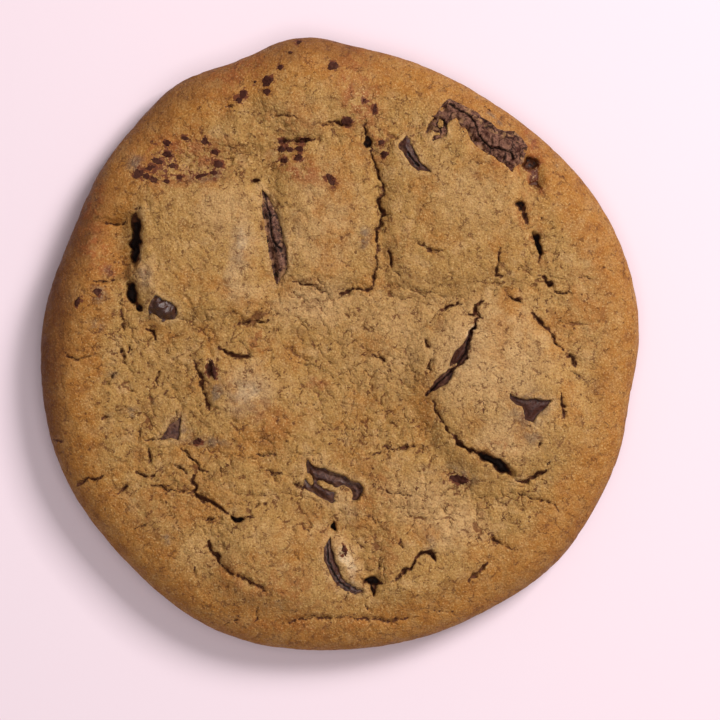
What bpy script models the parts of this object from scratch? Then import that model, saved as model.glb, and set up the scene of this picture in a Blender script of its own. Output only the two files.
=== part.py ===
"""Chocolate chunk cookie: a soft baked disc of dough with nine chunks of chocolate showing in its top.

X runs to the right and Y to the back as the cookie lies on a table, Z is up, and the origin is the middle
of the flat underside. Sizes in this file are in millimetres, and MM turns them into Blender's metres.
"""

import math

import bmesh
import bpy
import numpy as np

MM = 0.001

# The disc: its mean radius, the levels of its widest line and of the top of its rim, and how far the rim
# rolls over at the top and tucks under at the base.
RADIUS = 43.6
WIDEST_LEVEL = 3.8
RIM_LEVEL = 9.0
RIM_ROLL = 10.0
BASE_TUCK = 2.6
RIM_SHARE = 0.80
RIM_POWER = 2.3
CENTRE_SAG = 0.3

# Where the dough spread further or less far than the mean: direction and width in degrees, and amount.
SPREAD = (
    (55, 27, -2.0),
    (98, 9, 1.7),
    (122, 9, 1.2),
    (158, 13, -1.2),
    (205, 18, 0.9),
    (248, 21, 1.7),
    (286, 16, 0.5),
    (314, 12, 0.9),
    (350, 9, -0.9),
)

# Lumps over buried chunks: middle, half sizes, turn in degrees, height, power of the outline (2 is an
# ellipse, 4 nearly a rectangle) and the share of the half size over which the lump falls away.
LUMPS = (
    (-20.3, 13.9, 9.4, 9.6, 0, 1.5, 5, 0.22),
    (-1.8, 18.3, 7.4, 10.4, 4, 1.5, 5, 0.22),
    (16.3, 19.5, 10.6, 11.4, 6, 1.6, 4, 0.22),
    (22.8, -6.8, 10.2, 12.8, 22, 2.3, 3, 0.26),
    (-8.6, -31.6, 8.6, 6.4, -12, 1.7, 3, 0.35),
    (12.8, -31.0, 8.0, 5.6, 20, 1.2, 3, 0.35),
    (-5.0, 36.0, 6.6, 5.4, -35, 1.3, 3, 0.40),
    (-37.0, 4.6, 4.6, 6.2, 8, 0.8, 2, 0.60),
    (-13.8, -7.2, 7.0, 7.0, 0, 0.9, 3, 0.40),
    (8.4, -21.5, 8.5, 5.5, 15, 0.7, 2, 0.60),
    (20.0, 31.0, 8.0, 4.0, -38, 0.7, 2, 0.60),
)

# Dips: middle, half sizes, turn in degrees and depth.
DIPS = (
    (-32.4, 14.6, 3.0, 5.2, -4, 1.9),
    (27.4, 24.8, 1.9, 2.9, 10, 1.6),
    (-31.0, -2.0, 9.0, 7.0, 0, 0.5),
    (-16.0, 26.5, 10.0, 2.2, 4, 0.7),
    (-2.0, -6.0, 9.0, 8.0, 0, 0.6),
)

# Splits in the crust: the two ends, how far the middle bows to the left of the line, width and depth.
SPLITS = (
    (-30.2, 18.0, -29.8, 11.2, 0.3, 1.1, 2.6),
    (-31.0, 9.6, -29.6, 5.4, 0.6, 1.3, 2.2),
    (-29.6, 5.4, -26.8, 0.4, 0.4, 0.7, 1.2),
    (3.6, 31.6, 6.0, 22.0, -0.4, 0.8, 1.8),
    (6.0, 22.0, 4.8, 8.4, -0.3, 0.9, 1.8),
    (4.8, 8.2, -6.8, 9.0, 0.8, 0.6, 0.9),
    (27.6, 16.8, 29.0, 12.6, 0.2, 1.1, 1.8),
    (29.2, 10.4, 33.0, 7.4, 0.6, 0.7, 1.0),
    (14.0, 4.6, 20.2, 6.2, 0.7, 0.7, 1.0),
    (27.4, 5.0, 33.6, -2.6, 0.6, 0.9, 1.4),
    (33.4, -3.0, 31.8, -10.4, 1.2, 0.7, 1.2),
    (12.8, -7.6, 18.2, -15.2, 0.3, 0.9, 1.5),
    (18.2, -15.2, 26.4, -19.8, -0.5, 1.7, 2.6),
    (26.4, -19.8, 30.6, -17.0, 0.3, 0.7, 1.0),
    (6.2, -14.4, 12.8, -14.8, -0.4, 0.6, 0.9),
    (-22.8, -14.8, -21.2, -20.8, -0.8, 0.6, 0.9),
    (-21.2, -20.8, -16.4, -25.0, -0.5, 0.7, 1.2),
    (-16.6, -25.0, -13.8, -25.0, 0.1, 1.1, 2.2),
    (-19.2, -28.4, -11.0, -35.4, -0.8, 1.5, 1.6),
    (-8.0, -39.6, 9.4, -39.8, 0.2, 0.8, 1.0),
    (7.6, -33.4, 13.6, -31.0, 0.8, 0.8, 1.2),
    (18.6, -33.8, 21.2, -31.4, 0.2, 0.8, 1.2),
    (-38.6, -20.2, -34.6, -19.0, 0.3, 0.8, 1.0),
)

# Chunks: how far the top stands above (or lies below) the dough round it, how deep the chunk reaches
# down, and the outline as it shows from above, anticlockwise.
CHUNKS = {
    "chocolate_spear": (
        -0.1,
        5.0,
        ((-11.6, 22.4), (-11.3, 19.0), (-10.7, 14.5), (-9.9, 10.5), (-9.3, 8.7),
         (-8.2, 9.9), (-7.7, 12.0), (-8.3, 15.0), (-9.6, 18.6)),
    ),
    "chocolate_corner": (
        0.3,
        5.0,
        ((15.0, 35.2), (14.2, 33.4), (12.8, 32.2), (13.0, 30.4), (14.3, 29.6), (15.5, 30.8),
         (16.0, 32.4), (17.5, 31.8), (19.4, 28.8), (22.2, 26.8), (24.6, 25.0), (25.8, 26.5),
         (26.5, 28.6), (24.2, 30.6), (21.4, 32.0), (18.0, 34.4)),
    ),
    "chocolate_hook": (
        0.2,
        4.0,
        ((9.2, 30.2), (8.5, 29.2), (9.7, 26.7), (11.3, 25.2), (13.1, 24.9), (11.6, 26.4), (10.3, 28.7)),
    ),
    "chocolate_nugget": (
        0.1,
        3.5,
        ((-26.9, 7.1), (-27.7, 4.9), (-26.5, 3.7), (-24.2, 3.7), (-23.4, 4.6), (-24.2, 6.2)),
    ),
    "chocolate_sliver": (
        -0.5,
        4.5,
        ((19.5, 3.6), (17.0, 0.7), (15.6, -2.0), (13.6, -4.5), (12.6, -6.8), (14.7, -5.6),
         (17.6, -2.7), (18.8, 0.0)),
    ),
    "chocolate_wedge": (
        0.1,
        4.0,
        ((24.3, -6.8), (24.7, -8.1), (26.2, -9.4), (26.8, -11.2), (28.1, -11.0), (28.6, -9.3),
         (30.6, -7.9), (27.0, -7.5)),
    ),
    "chocolate_block": (
        -0.5,
        5.0,
        ((-5.3, -16.7), (-5.5, -20.6), (-3.6, -21.7), (-0.6, -22.8), (2.5, -22.4), (3.2, -20.4),
         (-0.2, -18.5)),
    ),
    "chocolate_crescent": (
        0.1,
        4.5,
        ((-1.9, -27.2), (-2.7, -29.6), (-2.2, -32.2), (-0.6, -34.4), (1.4, -35.8), (3.1, -35.6),
         (1.3, -34.1), (-0.4, -31.8), (-1.1, -29.4), (-1.1, -27.6)),
    ),
    "chocolate_chip": (
        -0.2,
        3.0,
        ((-23.0, -10.5), (-25.2, -11.5), (-26.1, -13.8), (-23.2, -13.4)),
    ),
}

# The plateau of a lump crowns by this share of its height.
LUMP_CROWN = 0.25

# How steep a dip's sides are: 1 is a plain bell, more gives a flatter floor.
DIP_FLATNESS = 2

# Splits narrow to this share of their width at the ends, have a flat floor over this share of their
# opening, and wander from their arc by this much in bends of this length.
SPLIT_END = 0.35
SPLIT_FLOOR = 0.2
SPLIT_WANDER = 0.55
SPLIT_BEND = 1.9

# The dough's own unevenness: height and bump spacing of the broad swells and of the small ones.
SWELLS = (0.35, 11.0)
RIPPLES = (0.16, 4.2)

# How finely the dough is first divided, and the share of its faces that are kept where it is nearly flat.
GRID = 116
KEPT_SHARE = 0.21
BASE_STEPS = 4

# Each chunk tapers to its foot by this share, has rounded edges, and sits in a pocket with a gap all
# round. The cutter for the pocket reaches well above the dough.
FOOT_TAPER = 0.2
CHUNK_ROUNDING = 0.35
POCKET_GAP = 0.4
POCKET_ABOVE = 2.5

DOUGH_COLOUR = (0.46, 0.26, 0.09, 1)
CHOCOLATE_COLOUR = (0.040, 0.016, 0.012, 1)


def smooth_step(low, high, value):
    """0 below low, 1 above high, with level ends."""
    share = np.clip((value - low) / (high - low), 0, 1)
    return share * share * (3 - 2 * share)


def waves(x, y, cell, seed):
    """Gradient noise between about -1 and 1, with its bumps one cell apart."""
    slopes = np.random.default_rng(seed).uniform(-1, 1, (64, 64, 2))
    column, row = np.floor(x / cell).astype(int), np.floor(y / cell).astype(int)
    across, along = x / cell - column, y / cell - row

    def corner(i, j):
        slope = slopes[(column + i) % 64, (row + j) % 64]
        return slope[..., 0] * (across - i) + slope[..., 1] * (along - j)

    fade_x, fade_y = smooth_step(0, 1, across), smooth_step(0, 1, along)
    near = corner(0, 0) * (1 - fade_x) + corner(1, 0) * fade_x
    far = corner(0, 1) * (1 - fade_x) + corner(1, 1) * fade_x
    return 1.6 * (near * (1 - fade_y) + far * fade_y)


def edge_radius(angle):
    """How far the dough reaches from the middle in this direction, in radians."""
    reach = np.full_like(angle, RADIUS)
    for direction, width, amount in SPREAD:
        away = np.degrees(angle) - direction
        away = (away + 180) % 360 - 180
        reach += amount * np.exp(-((away / width) ** 2))
    return reach


def turned(x, y, middle_x, middle_y, half_x, half_y, degrees):
    """The point in a feature's own frame, in units of its half sizes."""
    c, s = math.cos(math.radians(degrees)), math.sin(math.radians(degrees))
    dx, dy = x - middle_x, y - middle_y
    return (c * dx + s * dy) / half_x, (c * dy - s * dx) / half_y


def lumps(x, y):
    total = np.zeros_like(x)
    for middle_x, middle_y, half_x, half_y, degrees, height, power, fall in LUMPS:
        a, b = turned(x, y, middle_x, middle_y, half_x, half_y, degrees)
        out = (np.abs(a) ** power + np.abs(b) ** power) ** (1 / power)
        crown = 1 - LUMP_CROWN * np.clip(out * out, 0, 1)
        total = np.maximum(total, height * crown * (1 - smooth_step(1 - fall, 1 + fall, out)))
    return total


def dips(x, y):
    total = np.zeros_like(x)
    for middle_x, middle_y, half_x, half_y, degrees, depth in DIPS:
        a, b = turned(x, y, middle_x, middle_y, half_x, half_y, degrees)
        total += depth * np.exp(-((a * a + b * b) ** DIP_FLATNESS))
    return total


def split_depth(x, y):
    """How deep the splits cut here. Each one follows a shallow arc with a wandering line."""
    x = x + SPLIT_WANDER * waves(x, y, SPLIT_BEND, 11)
    y = y + SPLIT_WANDER * waves(x, y, SPLIT_BEND, 12)
    total = np.zeros_like(x)
    for start_x, start_y, end_x, end_y, bow, width, depth in SPLITS:
        run_x, run_y = end_x - start_x, end_y - start_y
        length = math.hypot(run_x, run_y)
        along = ((x - start_x) * run_x + (y - start_y) * run_y) / length**2
        aside = ((y - start_y) * run_x - (x - start_x) * run_y) / length
        held = np.clip(along, 0, 1)
        away = np.hypot(aside - bow * 4 * held * (1 - held), (along - held) * length)
        opening = width * (SPLIT_END + (1 - SPLIT_END) * np.sqrt(4 * held * (1 - held)))
        total = np.maximum(total, depth * (1 - smooth_step(SPLIT_FLOOR, 1, away / opening)))
    return total


def relief(x, y):
    """How far the top stands above the plain disc."""
    uneven = SWELLS[0] * waves(x, y, SWELLS[1], 1) + RIPPLES[0] * waves(x, y, RIPPLES[1], 2)
    return lumps(x, y) - dips(x, y) - split_depth(x, y) + uneven


def disc_point(u, v):
    """A point of the square from -1 to 1, moved to the unit disc: its radius and direction."""
    across, along = u * np.sqrt(1 - v * v / 2), v * np.sqrt(1 - u * u / 2)
    return np.hypot(across, along), np.arctan2(along, across)


def rim_section(share):
    """The plain disc's section from its middle, share 0, to its widest line, share 1: the distance in from
    the widest line as a share of the roll, and the level."""
    over = np.clip((share - RIM_SHARE) / (1 - RIM_SHARE), 0, 1) * math.pi / 2
    inward = 1 - np.sin(over) ** (2 / RIM_POWER)
    level = WIDEST_LEVEL + (RIM_LEVEL - WIDEST_LEVEL) * np.cos(over) ** (2 / RIM_POWER)
    return inward, level


def plain_level(x, y):
    """The level of the plain disc's top over a point away from the rolled rim."""
    out = np.hypot(x, y) / RADIUS
    return RIM_LEVEL - CENTRE_SAG * (1 - smooth_step(0.2, 0.7, out))


def top_level(x, y):
    """The level of the dough's top, used to seat the chunks."""
    reach = edge_radius(np.arctan2(y, x)) - np.hypot(x, y)
    out = 1 - np.clip(reach / RIM_ROLL, 0, 1)
    rolled = (RIM_LEVEL - WIDEST_LEVEL) * (1 - (1 - out**RIM_POWER) ** (1 / RIM_POWER))
    return plain_level(x, y) - rolled + lumps(x, y) - dips(x, y)


def widest_offset():
    """How far the widest outline's box lies off the origin, so that the cookie can be centred on it."""
    angle = np.linspace(-math.pi, math.pi, 721)
    reach = edge_radius(angle)
    x, y = reach * np.cos(angle), reach * np.sin(angle)
    return (x.max() + x.min()) / 2, (y.max() + y.min()) / 2


def new_object(name, mesh, collection):
    obj = bpy.data.objects.new(name, mesh)
    collection.objects.link(obj)
    return obj


def new_material(name, colour, roughness):
    material = bpy.data.materials.new(name)
    material.use_nodes = True
    shader = material.node_tree.nodes["Principled BSDF"]
    shader.inputs["Base Color"].default_value = colour
    shader.inputs["Roughness"].default_value = roughness
    return material


def positions(mesh):
    points = np.empty(len(mesh.vertices) * 3)
    mesh.vertices.foreach_get("co", points)
    return points.reshape(-1, 3)


def top_sheet():
    """The dough's top as a square sheet whose points are moved to the disc and over its rolled rim."""
    form = bmesh.new()
    bmesh.ops.create_grid(form, x_segments=GRID, y_segments=GRID, size=1)
    mesh = bpy.data.meshes.new("dough")
    form.to_mesh(mesh)
    form.free()
    u, v, _ = positions(mesh).T
    share, angle = disc_point(u, v)
    inward, level = rim_section(share)
    reach = edge_radius(angle) - RIM_ROLL * inward
    reach = np.where(share < RIM_SHARE, (edge_radius(angle) - RIM_ROLL) * share / RIM_SHARE, reach)
    x, y = reach * np.cos(angle), reach * np.sin(angle)
    level = np.where(share < RIM_SHARE, plain_level(x, y), level)
    raised = relief(x, y) * (1 - smooth_step(RIM_SHARE, 0.99, share))
    points = np.stack([x, y, level + raised], axis=1)
    mesh.vertices.foreach_set("co", (points * MM).ravel())
    return mesh


def close_below(mesh):
    """Carries the sheet's edge down round the underside's rounded corner and closes the flat base."""
    form = bmesh.new()
    form.from_mesh(mesh)
    for step in range(1, BASE_STEPS + 1):
        turn = step / BASE_STEPS * math.pi / 2
        drop = math.sin(turn) * WIDEST_LEVEL
        tuck = (1 - math.cos(turn)) * BASE_TUCK
        edge = [e for e in form.edges if e.is_boundary]
        made = bmesh.ops.extrude_edge_only(form, edges=edge)["geom"]
        for corner in (g for g in made if isinstance(g, bmesh.types.BMVert)):
            angle = np.array(math.atan2(corner.co.y, corner.co.x))
            reach = (edge_radius(angle) - tuck) * MM
            corner.co = (reach * math.cos(angle), reach * math.sin(angle), (WIDEST_LEVEL - drop) * MM)
    bmesh.ops.contextual_create(form, geom=[e for e in form.edges if e.is_boundary])
    bmesh.ops.triangulate(form, faces=[f for f in form.faces if len(f.verts) > 4])
    bmesh.ops.recalc_face_normals(form, faces=form.faces[:])
    form.to_mesh(mesh)
    form.free()


def grown(outline, gap):
    """An anticlockwise outline with each side moved out by the gap."""
    points = np.array(outline)
    sides = np.roll(points, -1, axis=0) - points
    out = np.stack([sides[:, 1], -sides[:, 0]], axis=1) / np.linalg.norm(sides, axis=1)[:, None]
    before = np.roll(out, 1, axis=0)
    return points + gap * (out + before) / (1 + (out * before).sum(axis=1))[:, None]


def chunk_mesh(name, rise, depth, outline, gap=0, above=0):
    """A chunk's mesh: its outline stretched down into the dough, with a top that follows the dough's.
    A gap all round it and a stretch above it make the cutter for its pocket."""
    form = bmesh.new()
    corners = [form.verts.new((x, y, 0)) for x, y in grown(outline, gap)]
    foot = form.faces.new(corners)
    top = bmesh.ops.extrude_face_region(form, geom=[foot])["geom"]
    upper = {g for g in top if isinstance(g, bmesh.types.BMVert)}
    middle = np.mean(np.array(outline), axis=0)
    seat = float(top_level(*middle)) + rise
    for corner in form.verts:
        if corner in upper:
            here = float(top_level(corner.co.x, corner.co.y)) + rise
            flare = FOOT_TAPER * above / depth
            corner.co.z = (here + seat) / 2 + above
        else:
            flare = -FOOT_TAPER
            corner.co.z = seat - depth - gap
        corner.co.x += (corner.co.x - middle[0]) * flare
        corner.co.y += (corner.co.y - middle[1]) * flare
    bmesh.ops.recalc_face_normals(form, faces=form.faces[:])
    bmesh.ops.scale(form, vec=(MM, MM, MM), verts=form.verts[:])
    mesh = bpy.data.meshes.new(name)
    form.to_mesh(mesh)
    form.free()
    return mesh


def add_chunk(name, rise, depth, outline, cookie, cutters, chocolate):
    """One chunk with rounded edges, and the slightly larger cutter that makes its pocket in the dough."""
    mesh = chunk_mesh(name, rise, depth, outline)
    mesh.materials.append(chocolate)
    chunk = new_object(name, mesh, cookie)
    rounding = chunk.modifiers.new("rounding", "BEVEL")
    rounding.width = CHUNK_ROUNDING * MM
    rounding.segments = 2

    pocket = chunk_mesh(name + "_pocket", rise, depth, outline, POCKET_GAP, POCKET_ABOVE)
    cutter = new_object(name + "_pocket", pocket, cutters)
    cutter.hide_render = True
    cutter.display_type = "WIRE"
    return chunk


def add_dough(cookie, cutters, dough_material):
    mesh = top_sheet()
    close_below(mesh)
    mesh.materials.append(dough_material)
    dough = new_object("dough", mesh, cookie)
    thinning = dough.modifiers.new("thinning", "DECIMATE")
    thinning.ratio = KEPT_SHARE
    pockets = dough.modifiers.new("pockets", "BOOLEAN")
    pockets.operation = "DIFFERENCE"
    pockets.operand_type = "COLLECTION"
    pockets.collection = cutters
    return dough


def new_collection(name):
    collection = bpy.data.collections.new(name)
    bpy.context.scene.collection.children.link(collection)
    return collection


def main():
    for obj in list(bpy.data.objects):
        bpy.data.objects.remove(obj)
    cookie = new_collection("cookie")
    cutters = new_collection("pocket_cutters")
    baked_dough = new_material("baked_dough", DOUGH_COLOUR, 0.8)
    chocolate = new_material("chocolate", CHOCOLATE_COLOUR, 0.4)

    pieces = [
        add_chunk(name, rise, depth, outline, cookie, cutters, chocolate)
        for name, (rise, depth, outline) in CHUNKS.items()
    ]
    pieces.append(add_dough(cookie, cutters, baked_dough))

    off_x, off_y = widest_offset()
    for piece in pieces + list(cutters.objects):
        piece.location = (-off_x * MM, -off_y * MM, 0)
        piece.data.shade_smooth()


main()
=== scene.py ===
"""Looks of a cookie with chopped chocolate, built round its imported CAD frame.

The dough's form comes first, then the chopped chocolate that lies in it, then the dough itself, which
closes round the chocolate, and last the flecks of chocolate. Sizes are in millimetres, and MM turns them
into Blender's metres.
"""
import math

import bpy
import numpy as np
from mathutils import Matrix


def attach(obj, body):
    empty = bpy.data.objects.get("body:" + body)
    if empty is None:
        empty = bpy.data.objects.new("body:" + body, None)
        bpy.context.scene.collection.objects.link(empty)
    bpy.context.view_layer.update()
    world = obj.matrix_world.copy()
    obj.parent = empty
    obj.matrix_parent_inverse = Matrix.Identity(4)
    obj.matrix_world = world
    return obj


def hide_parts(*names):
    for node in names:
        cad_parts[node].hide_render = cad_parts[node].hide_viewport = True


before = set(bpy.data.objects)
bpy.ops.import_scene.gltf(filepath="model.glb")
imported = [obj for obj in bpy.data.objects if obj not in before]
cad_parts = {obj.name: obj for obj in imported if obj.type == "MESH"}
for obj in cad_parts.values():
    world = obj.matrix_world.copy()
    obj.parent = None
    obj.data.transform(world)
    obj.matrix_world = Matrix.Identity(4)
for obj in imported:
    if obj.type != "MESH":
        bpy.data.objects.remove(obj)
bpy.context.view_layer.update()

MM = 0.001

# ---------------------------------------------------------------------------------------------------------
# The table, the lamps and the camera. A plain pale table top under a large soft lamp on the right, with a
# weaker one overhead. The camera looks straight down through a long lens.
# ---------------------------------------------------------------------------------------------------------
TABLE_SIZE = 1.6
VIEW_MIDDLE = (2.92, -2.36)
VIEW_WIDTH = 104.4
VIEW_HEIGHT = 620.0
VIEW_LEVEL = 6.0


def colour(red, green, blue):
    """A colour as it looks on a screen, 0 to 255, as the linear light that a shader takes."""
    shares = [value / 255 for value in (red, green, blue)]
    linear = [s / 12.92 if s <= 0.04045 else ((s + 0.055) / 1.055) ** 2.4 for s in shares]
    return (*linear, 1)


def deselect():
    if bpy.context.object and bpy.context.object.mode != "OBJECT":
        bpy.ops.object.mode_set(mode="OBJECT")
    bpy.ops.object.select_all(action="DESELECT")


def add_node(tree, kind, inputs=None, **settings):
    """A shader node with its settings, and its inputs as values or as links from other sockets."""
    made = tree.nodes.new(kind)
    for name, value in settings.items():
        setattr(made, name, value)
    for name, value in (inputs or {}).items():
        if isinstance(value, bpy.types.NodeSocket):
            tree.links.new(value, made.inputs[name])
        else:
            made.inputs[name].default_value = value
    return made


def soft_lamp(name, place, size, power):
    """A square white lamp that faces the cookie from a place given in millimetres."""
    bpy.ops.object.light_add(type="AREA", location=[value * MM for value in place])
    lamp = bpy.context.object
    lamp.name = name
    lamp.data.size = size * MM
    lamp.data.energy = power
    lamp.rotation_euler = (-lamp.location).to_track_quat("-Z", "Y").to_euler()


deselect()
bpy.ops.mesh.primitive_plane_add(size=TABLE_SIZE, location=(0, 0, -0.0002))
table = bpy.context.object
table.name = "table_top"
table_paint = bpy.data.materials.new("pale_table")
table_paint.use_nodes = True
table_shader = table_paint.node_tree.nodes["Principled BSDF"]
table_shader.inputs["Base Color"].default_value = colour(236, 214, 222)
table_shader.inputs["Roughness"].default_value = 0.9
table_shader.inputs["Specular IOR Level"].default_value = 0.1
table.data.materials.append(table_paint)

soft_lamp("window_lamp", (400, 330, 500), 260, 5.15)
soft_lamp("overhead_lamp", (40, -120, 700), 500, 1.95)
sky = bpy.data.worlds.new("soft_room")
sky.use_nodes = True
sky.node_tree.nodes["Background"].inputs["Color"].default_value = (1, 1, 1, 1)
sky.node_tree.nodes["Background"].inputs["Strength"].default_value = 0.20
bpy.context.scene.world = sky
bpy.context.scene.view_settings.view_transform = "Standard"

bpy.ops.object.camera_add(
    location=(VIEW_MIDDLE[0] * MM, VIEW_MIDDLE[1] * MM, (VIEW_HEIGHT + VIEW_LEVEL) * MM), rotation=(0, 0, 0)
)
camera = bpy.context.object
camera.data.lens = camera.data.sensor_width * VIEW_HEIGHT / VIEW_WIDTH
bpy.context.scene.camera = camera

# ---------------------------------------------------------------------------------------------------------
# The form of the baked dough: a disc that spread unevenly on its tray, with a rolled rim, lumps over
# buried squares of chocolate, and dips between them. It seats the chocolate, and the dough is made from it.
# ---------------------------------------------------------------------------------------------------------
RADIUS = 43.6
WIDEST_LEVEL = 3.8
RIM_LEVEL = 9.0
RIM_ROLL = 10.0
BASE_TUCK = 2.6
RIM_SHARE = 0.80
RIM_POWER = 2.3
CENTRE_SAG = 0.3

# Where the dough spread further or less far than the mean: direction and width in degrees, and amount.
SPREAD = (
    (55, 27, -2.0),
    (98, 9, 1.7),
    (122, 9, 1.2),
    (158, 13, -1.2),
    (205, 18, 0.9),
    (248, 21, 1.7),
    (286, 16, 0.5),
    (314, 12, 0.9),
    (350, 9, -0.9),
)

# Lumps over buried chunks: middle, half sizes, turn in degrees, height, power of the outline (2 is an
# ellipse, 4 nearly a rectangle) and the share of the half size over which the lump falls away.
LUMPS = (
    (-20.3, 13.9, 9.4, 9.6, 0, 1.5, 5, 0.22),
    (-1.8, 18.3, 7.4, 10.4, 4, 1.5, 5, 0.22),
    (16.3, 19.5, 10.6, 11.4, 6, 1.6, 4, 0.22),
    (22.8, -6.8, 10.2, 12.8, 22, 2.3, 3, 0.26),
    (-8.6, -31.6, 8.6, 6.4, -12, 1.7, 3, 0.35),
    (12.8, -31.0, 8.0, 5.6, 20, 1.2, 3, 0.35),
    (-5.0, 36.0, 6.6, 5.4, -35, 1.3, 3, 0.40),
    (-37.0, 4.6, 4.6, 6.2, 8, 0.8, 2, 0.60),
    (-13.8, -7.2, 7.0, 7.0, 0, 0.9, 3, 0.40),
    (8.4, -21.5, 8.5, 5.5, 15, 0.7, 2, 0.60),
    (20.0, 31.0, 8.0, 4.0, -38, 0.7, 2, 0.60),
)
LUMP_CROWN = 0.25

# Dips: middle, half sizes, turn in degrees and depth.
DIPS = (
    (-32.4, 14.6, 3.0, 5.2, -4, 1.9),
    (27.4, 24.8, 1.9, 2.9, 10, 1.6),
    (-31.0, -2.0, 9.0, 7.0, 0, 0.5),
    (-16.0, 26.5, 10.0, 2.2, 4, 0.7),
    (-2.0, -6.0, 9.0, 8.0, 0, 0.6),
)

# Slow unevenness: height and how far apart the swells and the ripples lie.
SWELLS = (0.35, 11.0)
RIPPLES = (0.16, 4.2)


def smooth_step(low, high, value):
    """0 below low, 1 above high, with level ends."""
    share = np.clip((value - low) / (high - low), 0, 1)
    return share * share * (3 - 2 * share)


def waves(x, y, cell, seed):
    """Gradient noise between about -1 and 1, with its bumps one cell apart."""
    slopes = np.random.default_rng(seed).uniform(-1, 1, (64, 64, 2))
    column, row = np.floor(x / cell).astype(int), np.floor(y / cell).astype(int)
    across, along = x / cell - column, y / cell - row

    def corner(i, j):
        slope = slopes[(column + i) % 64, (row + j) % 64]
        return slope[..., 0] * (across - i) + slope[..., 1] * (along - j)

    fade_x, fade_y = smooth_step(0, 1, across), smooth_step(0, 1, along)
    near = corner(0, 0) * (1 - fade_x) + corner(1, 0) * fade_x
    far = corner(0, 1) * (1 - fade_x) + corner(1, 1) * fade_x
    return 1.6 * (near * (1 - fade_y) + far * fade_y)


def edge_radius(angle):
    """How far the dough reaches from the middle in this direction, in radians."""
    reach = np.full_like(angle, RADIUS)
    for direction, width, amount in SPREAD:
        away = (np.degrees(angle) - direction + 180) % 360 - 180
        reach += amount * np.exp(-((away / width) ** 2))
    return reach


def turned(x, y, middle_x, middle_y, half_x, half_y, degrees):
    """The point in a feature's own frame, in units of its half sizes."""
    c, s = math.cos(math.radians(degrees)), math.sin(math.radians(degrees))
    dx, dy = x - middle_x, y - middle_y
    return (c * dx + s * dy) / half_x, (c * dy - s * dx) / half_y


def blot(x, y, middle_x, middle_y, half_x, half_y, degrees, edge=0.5):
    """1 inside a turned ellipse and 0 outside, with an edge that is soft over a share of its size."""
    a, b = turned(x, y, middle_x, middle_y, half_x, half_y, degrees)
    return 1 - smooth_step(1 - edge, 1 + edge, np.hypot(a, b))


def lumps(x, y):
    total = np.zeros_like(x)
    for middle_x, middle_y, half_x, half_y, degrees, height, power, fall in LUMPS:
        a, b = turned(x, y, middle_x, middle_y, half_x, half_y, degrees)
        out = (np.abs(a) ** power + np.abs(b) ** power) ** (1 / power)
        crown = 1 - LUMP_CROWN * np.clip(out * out, 0, 1)
        total = np.maximum(total, height * crown * (1 - smooth_step(1 - fall, 1 + fall, out)))
    return total


def dips(x, y):
    total = np.zeros_like(x)
    for middle_x, middle_y, half_x, half_y, degrees, depth in DIPS:
        a, b = turned(x, y, middle_x, middle_y, half_x, half_y, degrees)
        total += depth * np.exp(-((a * a + b * b) ** 2))
    return total


def swells(x, y):
    """The slow unevenness of the whole top."""
    return SWELLS[0] * waves(x, y, SWELLS[1], 1) + RIPPLES[0] * waves(x, y, RIPPLES[1], 2)


def plain_level(x, y):
    """The level of the plain disc's top over a point away from the rolled rim."""
    out = np.hypot(x, y) / RADIUS
    return RIM_LEVEL - CENTRE_SAG * (1 - smooth_step(0.2, 0.7, out))


def top_level(x, y):
    """The level of the dough's top with its lumps and dips, used to seat the chocolate."""
    reach = edge_radius(np.arctan2(y, x)) - np.hypot(x, y)
    out = 1 - np.clip(reach / RIM_ROLL, 0, 1)
    rolled = (RIM_LEVEL - WIDEST_LEVEL) * (1 - (1 - out**RIM_POWER) ** (1 / RIM_POWER))
    return plain_level(x, y) - rolled + lumps(x, y) - dips(x, y) + swells(x, y)


def widest_offset():
    """How far the widest outline's box lies off the point that sizes are measured from."""
    angle = np.linspace(-math.pi, math.pi, 721)
    reach = edge_radius(angle)
    x, y = reach * np.cos(angle), reach * np.sin(angle)
    return (x.max() + x.min()) / 2, (y.max() + y.min()) / 2


OFF_X, OFF_Y = widest_offset()


def points_of(mesh):
    """A mesh's points in millimetres, as three columns, in the frame that the sizes are given in."""
    flat = np.empty(len(mesh.vertices) * 3)
    mesh.vertices.foreach_get("co", flat)
    return flat.reshape(-1, 3) / MM + (OFF_X, OFF_Y, 0)


def put_points(mesh, points):
    """Moves a mesh's points. The cookie's box is centred on the origin by taking the offset away."""
    mesh.vertices.foreach_set("co", ((points - (OFF_X, OFF_Y, 0)) * MM).ravel())
    mesh.update()

# ---------------------------------------------------------------------------------------------------------
# Chopped chocolate: nine pieces of dark baking chocolate, broken from a bar with a knife, so each has a
# broken outline, a ridged top and a thin crack or two. Baking softened them and left grey bloom on some.
# ---------------------------------------------------------------------------------------------------------
CHUNK_VOXEL = 0.13
CHUNK_TUCK = 0.55
CHUNK_BEVEL = 0.35

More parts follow.
